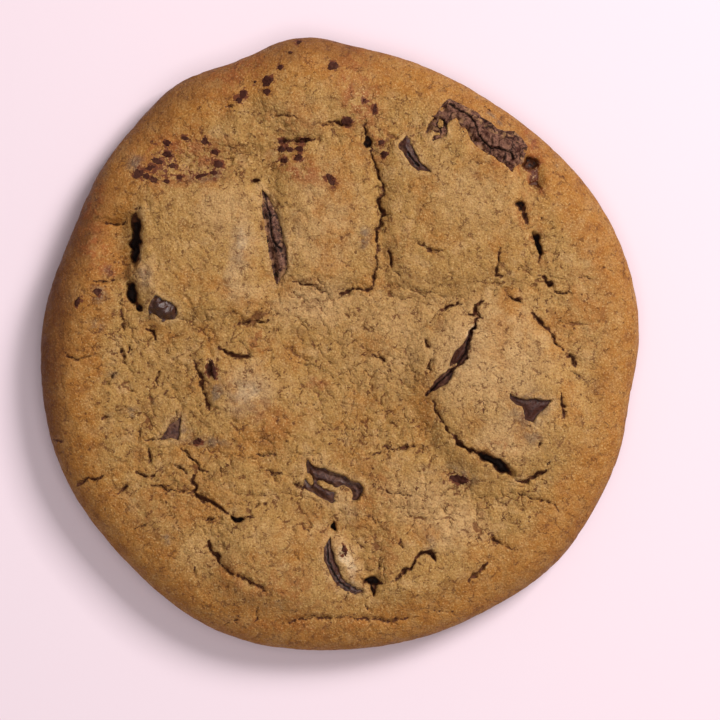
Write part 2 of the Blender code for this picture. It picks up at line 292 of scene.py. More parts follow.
# Each chunk's outline as it shows, and how it is made: rise is how far its top stands above the dough,
# depth how far it reaches down, crown how much its middle stands over its edge, ridge the height of its
# roughness, bloom its share of grey, gloss how shiny it is, and cracks the lines along which it broke.
CHUNKS = {
    "chocolate_spear": {
        "rise": -0.35,
        "depth": 4.6,
        "crown": 0.85,
        "ridge": 0.10,
        "bloom": 0.90,
        "gloss": 0.4,
        "outline": (
            (-11.4, 22.3), (-11.3, 20.6), (-11.2, 19.1), (-10.8, 16.4), (-10.4, 13.6), (-9.7, 10.9),
            (-9.3, 8.8), (-8.6, 9.7), (-7.8, 11.2), (-7.8, 12.9), (-8.1, 14.7), (-8.6, 16.4),
            (-9.2, 18.6), (-9.9, 20.3), (-10.7, 21.6),
        ),
        "cracks": (
            (
                (-11.0, 21.8), (-10.6, 19.9), (-10.2, 18.6), (-10.1, 16.9),
                (-9.9, 15.4), (-9.3, 14.3), (-8.7, 13.9),
            ),
        ),
    },
    "chocolate_corner": {
        "rise": -0.15,
        "depth": 4.6,
        "crown": 0.35,
        "ridge": 0.52,
        "bloom": 0.80,
        "gloss": 0.2,
        "outline": (
            (15.7, 35.1), (14.7, 34.1), (14.4, 33.4), (13.4, 32.6), (12.8, 32.0), (12.3, 30.6),
            (13.2, 31.2), (13.8, 30.7), (13.0, 29.5), (14.4, 29.7), (15.2, 30.2), (15.3, 32.1),
            (16.6, 32.9), (17.7, 31.9), (18.4, 30.2), (19.5, 28.6), (21.0, 27.6), (22.7, 26.7),
            (24.2, 25.6), (24.6, 25.1), (25.9, 26.7), (26.5, 28.6), (25.8, 29.5), (24.9, 30.4),
            (23.5, 30.4), (22.2, 30.8), (21.4, 31.7), (20.3, 32.3), (19.4, 33.2), (17.7, 34.0),
        ),
        "cracks": (
            (
                (15.7, 34.8), (16.8, 34.0), (18.3, 33.3), (19.2, 32.2), (19.6, 31.3), (19.8, 30.3),
                (20.7, 29.2), (21.7, 28.3), (23.0, 28.3), (23.9, 27.9), (24.6, 27.6), (24.9, 26.8),
            ),
            ((14.9, 32.4), (14.2, 31.6), (14.4, 30.6)),
        ),
    },
    "chocolate_hook": {
        "rise": -0.35,
        "depth": 3.6,
        "crown": 0.55,
        "ridge": 0.05,
        "bloom": 0.20,
        "gloss": 0.6,
        "outline": (
            (9.5, 30.0), (8.4, 28.9), (8.5, 28.3), (9.2, 27.3), (10.1, 26.0), (11.0, 25.2),
            (13.0, 24.9), (12.3, 25.6), (11.4, 26.5), (10.8, 27.6), (10.1, 28.9),
        ),
        "cracks": (((9.6, 27.8), (10.4, 26.6), (11.2, 25.8)),),
    },
    "chocolate_nugget": {
        "rise": -0.35,
        "depth": 3.2,
        "crown": 0.75,
        "ridge": 0.40,
        "bloom": 0.10,
        "gloss": 1.0,
        "outline": (
            (-26.7, 7.2), (-27.4, 6.1), (-27.6, 4.9), (-26.6, 4.3), (-25.4, 3.6), (-24.2, 3.9),
            (-23.6, 4.6), (-23.7, 5.4), (-24.6, 6.0), (-25.6, 6.4),
        ),
        "cracks": (),
    },
    "chocolate_sliver": {
        "rise": -0.95,
        "depth": 4.0,
        "crown": 0.45,
        "ridge": 0.06,
        "bloom": 0.15,
        "gloss": 0.4,
        "outline": (
            (18.7, 2.0), (17.7, 0.4), (16.2, -1.2), (15.7, -2.2), (15.6, -3.5), (14.4, -4.4),
            (13.6, -5.3), (12.6, -6.9), (14.0, -6.4), (15.4, -5.5), (15.9, -4.4), (17.0, -2.9),
            (18.2, -1.0), (18.4, 0.4),
        ),
        "cracks": (
            (
                (18.7, 1.8), (18.2, 0.2), (17.9, -1.2), (16.6, -3.0),
                (15.7, -4.0), (14.2, -5.3), (12.8, -6.8),
            ),
        ),
    },
    "chocolate_wedge": {
        "rise": -0.75,
        "depth": 3.6,
        "crown": 0.35,
        "ridge": 0.08,
        "bloom": 0.05,
        "gloss": 0.5,
        "outline": (
            (24.3, -7.0), (24.3, -7.7), (25.1, -8.5), (26.2, -8.8), (26.4, -9.7), (26.5, -10.7),
            (27.5, -11.1), (28.0, -10.4), (28.6, -9.7), (29.5, -9.0), (30.4, -8.1), (29.0, -8.1),
            (27.8, -7.8), (26.9, -8.0), (25.3, -7.5),
        ),
        "cracks": (),
    },
    "chocolate_block": {
        "rise": -1.05,
        "depth": 4.2,
        "crown": 0.55,
        "ridge": 0.16,
        "bloom": 0.30,
        "gloss": 0.65,
        "outline": (
            (-4.9, -16.4), (-4.9, -18.1), (-5.3, -19.4), (-5.6, -20.7), (-3.7, -21.5), (-2.5, -22.3),
            (-1.3, -22.9), (0.3, -22.6), (1.6, -22.5), (2.5, -22.3), (3.0, -21.8), (3.2, -20.7),
            (2.6, -19.9), (1.4, -19.6), (-0.4, -18.7), (-2.1, -18.1), (-3.7, -17.5),
        ),
        "cracks": (),
    },
    "chocolate_crescent": {
        "rise": -0.40,
        "depth": 4.0,
        "crown": 0.65,
        "ridge": 0.08,
        "bloom": 0.15,
        "gloss": 0.7,
        "outline": (
            (-1.7, -27.7), (-2.5, -29.6), (-2.4, -31.0), (-1.6, -32.9), (-0.7, -34.4), (0.8, -35.5),
            (1.9, -35.8), (3.3, -35.6), (2.1, -35.2), (1.0, -34.6), (0.0, -33.3), (-0.7, -31.5),
            (-1.1, -30.0), (-1.4, -28.7),
        ),
        "cracks": (((-1.9, -28.8), (-1.9, -30.8), (-1.1, -32.7), (-0.2, -34.2), (1.2, -35.2)),),
    },
    "chocolate_chip": {
        "rise": -0.50,
        "depth": 2.8,
        "crown": 0.15,
        "ridge": 0.06,
        "bloom": 0.35,
        "gloss": 0.5,
        "outline": (
            (-23.1, -10.4), (-23.8, -11.0), (-24.9, -11.4), (-25.2, -12.5), (-26.2, -13.8),
            (-24.6, -13.4), (-23.5, -13.6),
        ),
        "cracks": (),
    },
}

# Flaps of dough that drew thinly over the chocolate: middle, half sizes and turn in degrees.
FLAPS = (
    (0.3, -21.6, 1.6, 1.7, -8),
    (-2.0, -20.4, 2.0, 0.62, -24),
    (-4.6, -19.4, 0.7, 1.1, 10),
    (14.3, 31.9, 0.55, 0.8, 20),
    (13.9, 30.3, 0.5, 0.35, 0),
    (22.9, 30.4, 0.9, 0.5, -35),
    (16.2, -3.2, 0.5, 0.8, -35),
    (24.9, -7.3, 0.5, 0.4, 0),
)
FLAP_HEIGHT = 0.30


def path_distance(x, y, path, closed=False):
    """How far each point is from a path, and how far along the path its nearest point lies, from 0 to 1."""
    ends = list(path) + ([path[0]] if closed else [])
    runs = [math.dist(a, b) for a, b in zip(ends, ends[1:])]
    nearest, along = np.full(x.shape, 1e6), np.zeros(x.shape)
    done = 0.0
    for (ax, ay), (bx, by), run in zip(ends, ends[1:], runs):
        share = np.clip(((x - ax) * (bx - ax) + (y - ay) * (by - ay)) / run**2, 0, 1)
        away = np.hypot(x - ax - share * (bx - ax), y - ay - share * (by - ay))
        closer = away < nearest
        nearest = np.where(closer, away, nearest)
        along = np.where(closer, (done + share * run) / sum(runs), along)
        done += run
    return nearest, along


def outline_distance(x, y, outline):
    """How far each point lies outside an outline, negative inside it."""
    away, _ = path_distance(x, y, outline, closed=True)
    inside = np.zeros(x.shape, bool)
    for (ax, ay), (bx, by) in zip(outline, outline[1:] + outline[:1]):
        crosses = (ay > y) != (by > y)
        inside ^= crosses & (x < (bx - ax) * (y - ay) / ((by - ay) or 1e-9) + ax)
    return np.where(inside, -away, away)


def grown(outline, gap):
    """An anticlockwise outline with each corner moved out by the gap."""
    points = np.array(outline)
    sides = np.roll(points, -1, axis=0) - points
    out = np.stack([sides[:, 1], -sides[:, 0]], axis=1) / np.linalg.norm(sides, axis=1)[:, None]
    both = out + np.roll(out, 1, axis=0)
    return points + gap * both / np.maximum(np.linalg.norm(both, axis=1), 0.7)[:, None]


def flap_share(x, y):
    """How much a thin flap of dough covers each point."""
    share = np.zeros_like(x)
    for patch in FLAPS:
        share = np.maximum(share, blot(x, y, *patch, edge=0.3))
    return share


def chunk_seat(made):
    """The level of a chunk's top edge: the dough's mean level over its outline, plus its rise."""
    x, y = np.array(made["outline"]).T
    return float(top_level(x, y).mean()) + made["rise"]


def chunk_top(x, y, made, seed):
    """How far a chunk's top stands above its seat, and where it broke. It crowns, and has rough facets."""
    away = outline_distance(x, y, made["outline"])
    slope = top_level(x, y) - (chunk_seat(made) - made["rise"])
    crown = made["crown"] * (1 - smooth_step(-1.1, 0.1, away))
    facets = 0.8 * waves(x, y, 1.7, seed) + 0.35 * waves(x, y, 0.7, seed + 1)
    creases = 0.5 - np.abs(waves(x, y, 1.1, seed + 2)) * 1.6
    broken = np.zeros_like(x)
    for crack in made["cracks"]:
        near, _ = path_distance(x + 0.14 * waves(x, y, 0.5, 5), y + 0.14 * waves(x, y, 0.5, 6), crack)
        broken = np.maximum(broken, 1 - smooth_step(0.03, 0.18, near))
    rough = made["ridge"] * (facets + creases)
    return 0.7 * slope + (crown + rough) * (1 - flap_share(x, y)) - 0.55 * broken, broken


def build_chunk(name, made, seed):
    """A chunk from a flat outline drawn down into the dough, then rounded and roughened."""
    deselect()
    outline = grown(made["outline"], CHUNK_TUCK)
    bpy.ops.mesh.primitive_circle_add(vertices=len(outline), radius=0.01, fill_type="NGON")
    chunk = bpy.context.object
    chunk.name = chunk.data.name = name
    seat = chunk_seat(made)
    top = np.column_stack([outline, np.full(len(outline), seat)])
    put_points(chunk.data, top)
    bpy.ops.object.mode_set(mode="EDIT")
    bpy.ops.mesh.select_all(action="SELECT")
    drop = (0, 0, -made["depth"] * MM)
    bpy.ops.mesh.extrude_region_move(TRANSFORM_OT_translate={"value": drop})
    bpy.ops.transform.resize(value=(0.8, 0.8, 1))
    bpy.ops.mesh.select_all(action="SELECT")
    bpy.ops.mesh.normals_make_consistent(inside=False)
    bpy.ops.object.mode_set(mode="OBJECT")
    rounding = chunk.modifiers.new("rounding", "BEVEL")
    rounding.width = CHUNK_BEVEL * MM
    rounding.segments = 3
    dense = chunk.modifiers.new("dense", "REMESH")
    dense.mode = "VOXEL"
    dense.voxel_size = CHUNK_VOXEL * MM
    for modifier in ("rounding", "dense"):
        bpy.ops.object.modifier_apply(modifier=modifier)

    points = points_of(chunk.data)
    x, y, z = points.T
    lift, broken = chunk_top(x, y, made, seed)
    upper = smooth_step(-1.4, -0.3, z - seat)
    points[:, 2] = z + lift * upper
    put_points(chunk.data, points)
    marks = chunk.data.attributes.new("marks", "FLOAT_COLOR", "POINT")
    rim = smooth_step(-0.9, 0.1, outline_distance(x, y, made["outline"]))
    gloss = np.full(len(x), made["gloss"])
    shades = np.column_stack([np.full(len(x), made["bloom"]), broken * upper, rim, gloss])
    marks.data.foreach_set("color", shades.ravel())
    chunk.data.shade_smooth()
    return chunk


def group_socket(group, name, kind, direction):
    group.interface.new_socket(name=name, in_out=direction, socket_type=kind)


def noise(tree, place, size, detail=3, rough=0.55, warp=0.0):
    """Noise between 0 and 1 whose bumps are about one size, in millimetres, apart."""
    inputs = {"Vector": place, "Scale": 1 / size, "Detail": detail, "Roughness": rough, "Distortion": warp}
    return add_node(tree, "ShaderNodeTexNoise", inputs).outputs["Fac"]


def calculate(tree, operation, first, second=0.0, clamp=False):
    made = add_node(tree, "ShaderNodeMath", {0: first, 1: second}, operation=operation, use_clamp=clamp)
    return made.outputs[0]


def stretch(tree, value, low, high, to_low=0.0, to_high=1.0):
    """A value between two limits, made to run smoothly between two others."""
    inputs = {"Value": value, "From Min": low, "From Max": high, "To Min": to_low, "To Max": to_high}
    return add_node(tree, "ShaderNodeMapRange", inputs, interpolation_type="SMOOTHSTEP").outputs[0]


def blend(tree, share, first, second, mode="MIX"):
    made = add_node(tree, "ShaderNodeMix", data_type="RGBA", blend_type=mode)
    for socket, value in ((0, share), (6, first), (7, second)):
        if isinstance(value, bpy.types.NodeSocket):
            tree.links.new(value, made.inputs[socket])
        else:
            made.inputs[socket].default_value = value
    return made.outputs[2]


def build_grain_group():
    """Baked grain: fine and coarse unevenness, small pits, rounded crumbs, and hairlines between them."""
    group = bpy.data.node_groups.new("baked_grain", "ShaderNodeTree")
    group_socket(group, "Place", "NodeSocketVector", "INPUT")
    group_socket(group, "Size", "NodeSocketFloat", "INPUT")
    for name in ("Fine", "Coarse", "Pits", "Hairlines", "Crumbs"):
        group_socket(group, name, "NodeSocketFloat", "OUTPUT")
    entry = group.nodes.new("NodeGroupInput")
    leave = group.nodes.new("NodeGroupOutput")
    shrink = calculate(group, "DIVIDE", 1.0, entry.outputs["Size"])
    place = add_node(
        group, "ShaderNodeVectorMath", {0: entry.outputs["Place"], "Scale": shrink}, operation="SCALE"
    ).outputs[0]
    fine = noise(group, place, 0.55, 4, 0.62, 0.3)
    coarse = noise(group, place, 1.6, 4, 0.6)

    # Crumbs are warped cells. Their borders show as short dark dashes where a slow noise lets them.
    slow = {"Vector": place, "Scale": 1.1, "Detail": 4, "Roughness": 0.68}
    warp = add_node(group, "ShaderNodeTexNoise", slow)
    shift = add_node(
        group, "ShaderNodeVectorMath", {0: warp.outputs["Color"], 1: (0.5, 0.5, 0.5)}, operation="SUBTRACT"
    ).outputs[0]
    moved = add_node(
        group, "ShaderNodeVectorMath", {0: shift, 1: (2.2, 2.2, 2.2), 2: place}, operation="MULTIPLY_ADD"
    ).outputs[0]
    cells = add_node(
        group, "ShaderNodeTexVoronoi", {"Vector": moved, "Scale": 0.46}, feature="DISTANCE_TO_EDGE"
    ).outputs["Distance"]
    crumbs = stretch(group, cells, 0.0, 0.26)
    wide = stretch(group, noise(group, place, 0.5, 2, 0.5), 0.35, 0.65, 0.02, 0.07)
    border = calculate(group, "DIVIDE", cells, wide)
    kept = stretch(group, noise(group, place, 1.15, 2, 0.5), 0.54, 0.60)
    hairlines = calculate(group, "MULTIPLY", stretch(group, border, 0.4, 1.0, 1.0, 0.0), kept)

    # Pits are spots of many sizes, most of them too small to see.
    spots = add_node(group, "ShaderNodeTexVoronoi", {"Vector": moved, "Scale": 0.80}, feature="F1")
    chance = add_node(group, "ShaderNodeSeparateColor", {"Color": spots.outputs["Color"]}).outputs[0]
    size = stretch(group, chance, 0.45, 1.0, 0.0, 0.24)
    pits = stretch(group, calculate(group, "SUBTRACT", size, spots.outputs["Distance"]), 0.0, 0.08)
    made = {"Fine": fine, "Coarse": coarse, "Pits": pits, "Hairlines": hairlines, "Crumbs": crumbs}
    for name, value in made.items():
        group.links.new(value, leave.inputs[name])
    return group


BAKED_GRAIN = build_grain_group()


def new_paint(name):
    """A material, its shader, and the place on the object in millimetres."""
    paint = bpy.data.materials.new(name)
    paint.use_nodes = True
    tree = paint.node_tree
    middle = add_node(tree, "ShaderNodeTexCoord").outputs["Object"]
    larger = add_node(tree, "ShaderNodeVectorMath", {0: middle, "Scale": 1 / MM}, operation="SCALE")
    return paint, tree, tree.nodes["Principled BSDF"], larger.outputs[0]


def grain_of(tree, place, size):
    made = add_node(tree, "ShaderNodeGroup", node_tree=BAKED_GRAIN)
    tree.links.new(place, made.inputs["Place"])
    made.inputs["Size"].default_value = size
    return made.outputs


def shades_of(tree, name):
    """The parts of a colour that the mesh carries: red, green, blue and the alpha as a fourth."""
    held = add_node(tree, "ShaderNodeAttribute", attribute_name=name, attribute_type="GEOMETRY")
    parts = add_node(tree, "ShaderNodeSeparateColor", {"Color": held.outputs["Color"]})
    return parts.outputs[0], parts.outputs[1], parts.outputs[2], held.outputs["Alpha"]


def bump_of(tree, shader, height):
    """Relief finer than the mesh, its height in millimetres."""
    bump = add_node(tree, "ShaderNodeBump", {"Height": height, "Distance": MM, "Strength": 1.0})
    tree.links.new(bump.outputs["Normal"], shader.inputs["Normal"])


DARK_CHOCOLATE = colour(64, 32, 24)
CHOCOLATE_SHADE = colour(18, 8, 6)
BLOOMED_CHOCOLATE = colour(134, 94, 76)
CRUMB_DUST = colour(168, 124, 84)


def chocolate_paint():
    """Dark chocolate: bloom in soft streaks, a dust of crumb where dough touched it, and painted shade:
    black cracks, and dark crevices and fine grain.
    """
    paint, tree, shader, place = new_paint("dark_chocolate")
    bloom, crack, rim, gloss = shades_of(tree, "marks")
    grain = grain_of(tree, place, 0.6)
    streaks = stretch(tree, noise(tree, place, 1.3, 4, 0.7, 1.0), 0.40, 0.62)
    bloomed = calculate(tree, "MULTIPLY", streaks, bloom)
    surface = blend(tree, bloomed, DARK_CHOCOLATE, BLOOMED_CHOCOLATE)
    speckle = calculate(tree, "MULTIPLY", stretch(tree, grain["Fine"], 0.56, 0.70), bloom)
    surface = blend(tree, calculate(tree, "MULTIPLY", speckle, 0.35), surface, CRUMB_DUST)
    # Painted shade in the fine grain, in noise crevices on bloomed chunks, and black in the cracks.
    shade = calculate(tree, "MULTIPLY", stretch(tree, grain["Fine"], 0.50, 0.36), 0.55)
    surface = blend(tree, shade, surface, CHOCOLATE_SHADE)
    crevice_shade = stretch(tree, noise(tree, place, 1.5, 3, 0.6, 1.6), 0.47, 0.38)
    surface = blend(tree, calculate(tree, "MULTIPLY", crevice_shade, bloom), surface, CHOCOLATE_SHADE)
    dusty = calculate(tree, "MULTIPLY", rim, stretch(tree, grain["Coarse"], 0.52, 0.62, 0.0, 0.9))
    surface = blend(tree, calculate(tree, "MULTIPLY", dusty, bloom), surface, CRUMB_DUST)
    surface = blend(tree, crack, surface, CHOCOLATE_SHADE)
    tree.links.new(surface, shader.inputs["Base Color"])
    matt = stretch(tree, noise(tree, place, 0.9, 3, 0.6), 0.38, 0.62, 0.55, 0.80)
    matt = calculate(tree, "SUBTRACT", matt, calculate(tree, "MULTIPLY", gloss, 0.38))
    roughness = calculate(tree, "ADD", matt, calculate(tree, "MULTIPLY", bloomed, 0.25), clamp=True)
    tree.links.new(roughness, shader.inputs["Roughness"])
    sheen = calculate(tree, "MULTIPLY", calculate(tree, "POWER", gloss, 2.0), 0.60)
    sheen = calculate(tree, "ADD", sheen, 0.06)
    tree.links.new(sheen, shader.inputs["Specular IOR Level"])
    uneven = calculate(tree, "MULTIPLY", noise(tree, place, 0.7, 4, 0.65), 0.22)
    bump_of(tree, shader, uneven)
    return paint


CHOCOLATE = chocolate_paint()
for number, (name, made) in enumerate(CHUNKS.items()):
    chunk = build_chunk(name + "_chopped", made, 100 + 10 * number)
    chunk.data.materials.append(CHOCOLATE)
    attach(chunk, "root")
    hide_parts(name)

# ---------------------------------------------------------------------------------------------------------
# Dough: one ball of butter dough that spread and set in the oven. Its crust split along the lumps while it
# rose, closed round the chocolate, and went brownest at the thin rim, where shade on the left and lower
# right is painted in as well. The underside baked flat on the tray.
# ---------------------------------------------------------------------------------------------------------
GRID = 500
WALL_RINGS = 20
BASE_RINGS = 10
DOUGH_TRIANGLES = 190000
HIGHEST = 11.38
WALL_UNEVEN = 0.32
POCKET_DROP = 1.3
LIP_HEIGHT = 0.07
GRIT = ((0.110, 2.6), (0.055, 1.15))
GOUGES = (0.35, 1.5)
PEBBLE_DEPTH = 0.17
PLATE_DEPTH = 0.24

# Splits in the crust: width, depth, and the path each one runs along.
CRACKS = (
    # left side
    (0.6, 1.4, ((-29.5, 5.9), (-28.6, 4.9))),
    (0.5, 1.2, ((-27.9, 2.3), (-27, 2), (-26.9, 0.7))),
    (0.9, 0.5, ((-31.8, 4.8), (-31.4, 1.8))),
    (0.4, 0.7, ((-30.9, 0.1), (-30.7, -1))),
    (0.4, 0.6, ((-31.4, -1.3), (-31.4, -2.6))),
    (0.35, 0.6, ((-40.1, -1.3), (-39.4, -1.8), (-37.9, -2.2), (-36, -1.5))),
    (0.4, 0.9, ((-34, 17.6), (-32.1, 17.3), (-31.2, 17.8))),
    (0.45, 0.8, ((-35.7, 9.2), (-34, 9.2), (-32.7, 9.5))),
    (0.6, 1, ((-29.6, 19.6), (-28.9, 19.9))),
    (0.5, 1, ((-33.2, -4.8), (-32.6, -4.2))),
    (0.4, 0.7, ((-26.2, -3.8), (-26.5, -4.9), (-26.4, -5.6))),
    # round the low lump
    (0.6, 1.2, ((-17.7, -0.4), (-16.2, -1.2), (-15.2, -1.7), (-12.9, -1.6))),
    (0.4, 0.8, ((-15.5, 2.8), (-13, 3.3), (-10.6, 3.6))),
    (0.7, 0.9, ((-21.5, -2.2), (-20.6, -3.6), (-20.2, -5.5), (-19.6, -7.4), (-19.1, -9.6))),
    (0.3, 0.5, ((-6.2, -2.5), (-3.5, -3.2))),
    # lower left
    (0.4, 0.6, ((-34.6, -10.6), (-33.1, -10.4))),
    (0.4, 0.6, ((-23.8, -9.5), (-23.5, -10.4))),
    (0.3, 0.5, ((-25.9, -13.6), (-28.4, -13.7))),
    (0.3, 0.5, ((-29.2, -11.5), (-29.3, -13), (-29.2, -14.5))),
    (0.45, 0.9, ((-27.9, -15.2), (-27.6, -16.2), (-27.9, -17.1))),
    (0.45, 0.8, ((-41.6, -13.7), (-40.5, -14.1))),
    (0.7, 1.1, ((-38.4, -20.3), (-37.7, -20), (-36.8, -19.3), (-36, -19.5), (-34.4, -19))),
    (0.6, 0.9, ((-32.3, -21.3), (-31, -20.6))),
    (0.5, 0.9, ((-29.7, -18.4), (-28.8, -18.8), (-27.5, -19), (-26.8, -18.8))),
    (0.35, 0.6, ((-27.5, -20.3), (-25.7, -20.5), (-24, -21.2), (-22.3, -21.3), (-21.4, -21.3))),
    (
        0.6,
        1.3,
        (
            (-21.2, -19.1), (-21.4, -19.9), (-20.9, -20.4), (-21.2, -21.2),
            (-19.8, -22.3), (-18.3, -22.8), (-17.4, -23.6), (-16.2, -24.5),
        ),
    ),
    (0.45, 0.8, ((-22.9, -14.9), (-21.8, -16.2), (-20.3, -17.5), (-19.4, -18.4))),
    (0.4, 0.6, ((-24, -17.1), (-22.2, -18.6))),
    (0.3, 0.5, ((-29.9, -26.6), (-29, -26.2), (-27.9, -25.9))),
    (0.9, 1.3, ((-19, -28.2), (-18.8, -29.5), (-17.7, -30.7), (-17.6, -31.8))),
    (0.9, 1, ((-17.6, -31.8), (-15.4, -33.3), (-12, -34.7), (-11, -35.4))),
    (0.4, 0.7, ((-19.6, -25.2), (-18.3, -25.1))),
    (0.3, 0.5, ((-21.2, -32), (-21.1, -33.6))),
    (0.3, 0.6, ((-13.9, -25), (-12.4, -24.7))),
    (0.35, 0.5, ((-12.4, -23.6), (-11.9, -23.1), (-10.7, -22.9))),
    (0.3, 0.5, ((-12.3, -15.9), (-10.6, -15.9), (-9.4, -16.1))),
    (0.3, 0.6, ((-10.8, -18.1), (-9.7, -18.8), (-8.6, -18.5))),
    (0.3, 0.5, ((-17.4, -17.7), (-17.1, -18.6))),
    # round the middle top lump
    (0.5, 1.2, ((3.4, 31.6), (4.1, 29))),
    (0.45, 1.0, ((4.1, 28.6), (5.1, 25.4), (6.2, 22))),
    (0.55, 1.2, ((6.2, 22), (5.4, 21), (6.2, 18.8), (5.1, 16.7), (5.5, 13.6))),
    (0.35, 0.8, ((5.5, 13.6), (4.9, 10.6), (4.5, 8.1))),
    (0.45, 1, ((-0.1, 7.2), (1.3, 8.1), (2.9, 8), (4.5, 8.1))),
    (0.35, 0.7, ((-6.8, 9), (-4.5, 8.6), (-1.7, 7.4))),
    (0.5, 0.9, ((-9.4, 29.3), (-7.4, 29.6), (-5.5, 29.6), (-3.8, 29.4))),
    (0.3, 0.5, ((-10.3, 32.9), (-8.3, 33.1), (-6.4, 32.9))),
    (0.4, 0.7, ((-16.6, 34.4), (-15.5, 34.6))),
    (0.4, 0.9, ((-2.9, 31.8), (-1, 31.9), (1.4, 31.5))),
    (0.45, 1.2, ((-13, 23.6), (-11.6, 23.9))),
    (0.6, 1.2, ((6.8, 13.6), (7.2, 12.5), (7.4, 11.3))),
    (0.3, 0.5, ((7.5, 10.8), (8.6, 9.9))),
    (0.3, 0.5, ((4.2, -1.2), (5.7, -2), (7, -3))),
    # right side
    (0.35, 0.6, ((10.3, 14.7), (11.9, 14.4), (13.2, 13.6), (14.7, 13.4))),
    (0.5, 1, ((22.9, 13.9), (22.8, 12.8), (22.9, 11.3), (22.3, 10.2), (23.2, 9.7))),
    (0.6, 1.2, ((26, 20.2), (26.5, 18.8), (26.7, 17.5))),
    (0.5, 1, ((29, 13), (28.5, 12))),
    (0.6, 1.2, ((29.1, 10.1), (29.8, 9.1), (30.7, 8.5))),
    (0.35, 0.7, ((31, 7.5), (32.8, 7.5))),
    (0.25, 0.4, ((34.3, 9.7), (36.3, 9.5))),
    (0.3, 0.4, ((37.5, 11.5), (38.5, 10.9), (39.5, 10.6))),
    (0.3, 0.5, ((29, 18.5), (29.1, 18))),
    (0.3, 0.5, ((30.8, 14.7), (31.1, 14.4))),
    (0.35, 0.6, ((20.7, 34.7), (21.6, 33.9))),
    # round the right lump
    (0.55, 1.1, ((14.2, 5), (15.3, 5.6), (16.6, 5.8), (17.5, 6))),
    (0.55, 1.3, ((20.3, 6.4), (19.9, 5.6), (19.3, 5.6), (19.3, 4.7), (18.4, 4.6))),
    (0.45, 0.9, ((19.3, 4.6), (20.4, 3.9))),
    (0.45, 2.0, ((19.7, 3.9), (18.9, 2.0), (18.5, 0.9), (18.1, -1.7), (17.0, -3.0))),
    (0.5, 2.2, ((17.0, -3.0), (16.0, -3.6), (14.4, -5.1), (13.2, -6.2), (12.4, -7.2))),
    (0.5, 1, ((24.2, 6.9), (25.3, 6.5), (26.2, 6))),
    (0.6, 1.2, ((27.7, 4.9), (28.2, 3.8), (29.3, 2.8), (30.4, 1.9))),
    (0.45, 0.8, ((30.4, 1.9), (31.2, -0.1), (32.1, -0.7))),
    (0.65, 1.5, ((32.5, -1.6), (33.2, -1.6), (33.9, -3))),
    (0.35, 0.7, ((33.3, -3.9), (34.5, -4.6))),
    (0.55, 1.3, ((31.6, -7), (31.9, -8.1), (32, -9), (32.1, -10.5))),
    (0.6, 0.9, ((12.1, 0.6), (12.8, -0.5))),
    (0.5, 0.8, ((12.7, -2.2), (12.5, -3.3), (12.8, -4))),
    (0.4, 0.9, ((13.2, -8.1), (13.8, -9.6), (14.9, -11.6), (16.2, -13.2))),
    (0.55, 1.4, ((16.2, -13.2), (18.1, -15.1), (20, -15.3))),
    (0.6, 1.2, ((25.2, -19.4), (26.4, -19.9), (28.4, -18.7), (30.2, -17.3))),
    (0.25, 0.4, ((18.4, -5.9), (19.9, -6.4))),
    (0.3, 0.5, ((20.3, -8), (20.4, -9.6))),
    (0.4, 0.8, ((28.6, -14.6), (29, -13.8))),
    # lower middle and right
    (0.4, 0.6, ((25.5, -21.5), (28.7, -22.5), (30.9, -22.8), (31.5, -24.1))),
    (0.4, 0.6, ((6.2, -14.5), (7.5, -15.2), (10.1, -14.6), (12.8, -14.6))),
    (0.35, 0.5, ((3.9, -15.8), (5.9, -15.4))),
    (0.55, 1.2, ((7.2, -34.2), (8.4, -33.5), (9.5, -32.3), (10.6, -31.6), (10.8, -30.7))),
    (0.7, 1.7, ((10.8, -30.7), (11.7, -29.9), (12.6, -29.8), (13.2, -30.3), (13.6, -31))),
    (0.6, 1, ((18.3, -34.2), (19.1, -33.5), (20, -32.5), (21.2, -31.5))),
    (0.4, 0.6, ((21.5, -27.1), (22.3, -28.4), (24.8, -29.7))),
    (0.25, 0.4, ((13, -38.4), (15.2, -38.5), (16.3, -38.4))),
    (0.25, 0.4, ((6.5, -20.9), (6.8, -21.5), (8.6, -21.5), (10.6, -21.8))),
    (0.3, 0.5, ((8.4, -28.3), (9.1, -29.2))),
    (0.25, 0.4, ((4.1, -24.8), (5, -25.7))),
    (0.25, 0.4, ((2.4, -28.4), (3.4, -29.4))),
    (0.35, 0.5, ((5.4, -31.2), (5.5, -32.3))),
    (0.5, 1.2, ((4.8, -34.5), (5.8, -34.3))),
    (0.6, 1.2, ((4.9, -34.7), (4.8, -36))),
    (0.35, 0.6, ((0.8, -35.8), (1, -36.4), (0.4, -37))),
    (0.3, 0.5, ((3.6, -37.1), (3.9, -38.1), (4.3, -38.6))),
    (0.9, 0.6, ((-7.7, -40), (-6.1, -39.6), (-2.4, -39.4), (-0.9, -39.6), (0.8, -39.4))),
    (1.0, 0.7, ((0.8, -39.4), (3, -39.6), (5.2, -39.6), (6.3, -40.1), (7.4, -40), (9.5, -39.6))),
    (0.35, 0.5, ((-12, -37.8), (-12.5, -39.9))),
    (0.35, 0.5, ((-16.7, -40.5), (-14.8, -39.3))),
    (0.3, 0.5, ((-5.6, -26.2), (-4.7, -27))),
    (0.45, 0.9, ((-6.7, -19.9), (-5.6, -20.7), (-4.8, -21))),
)

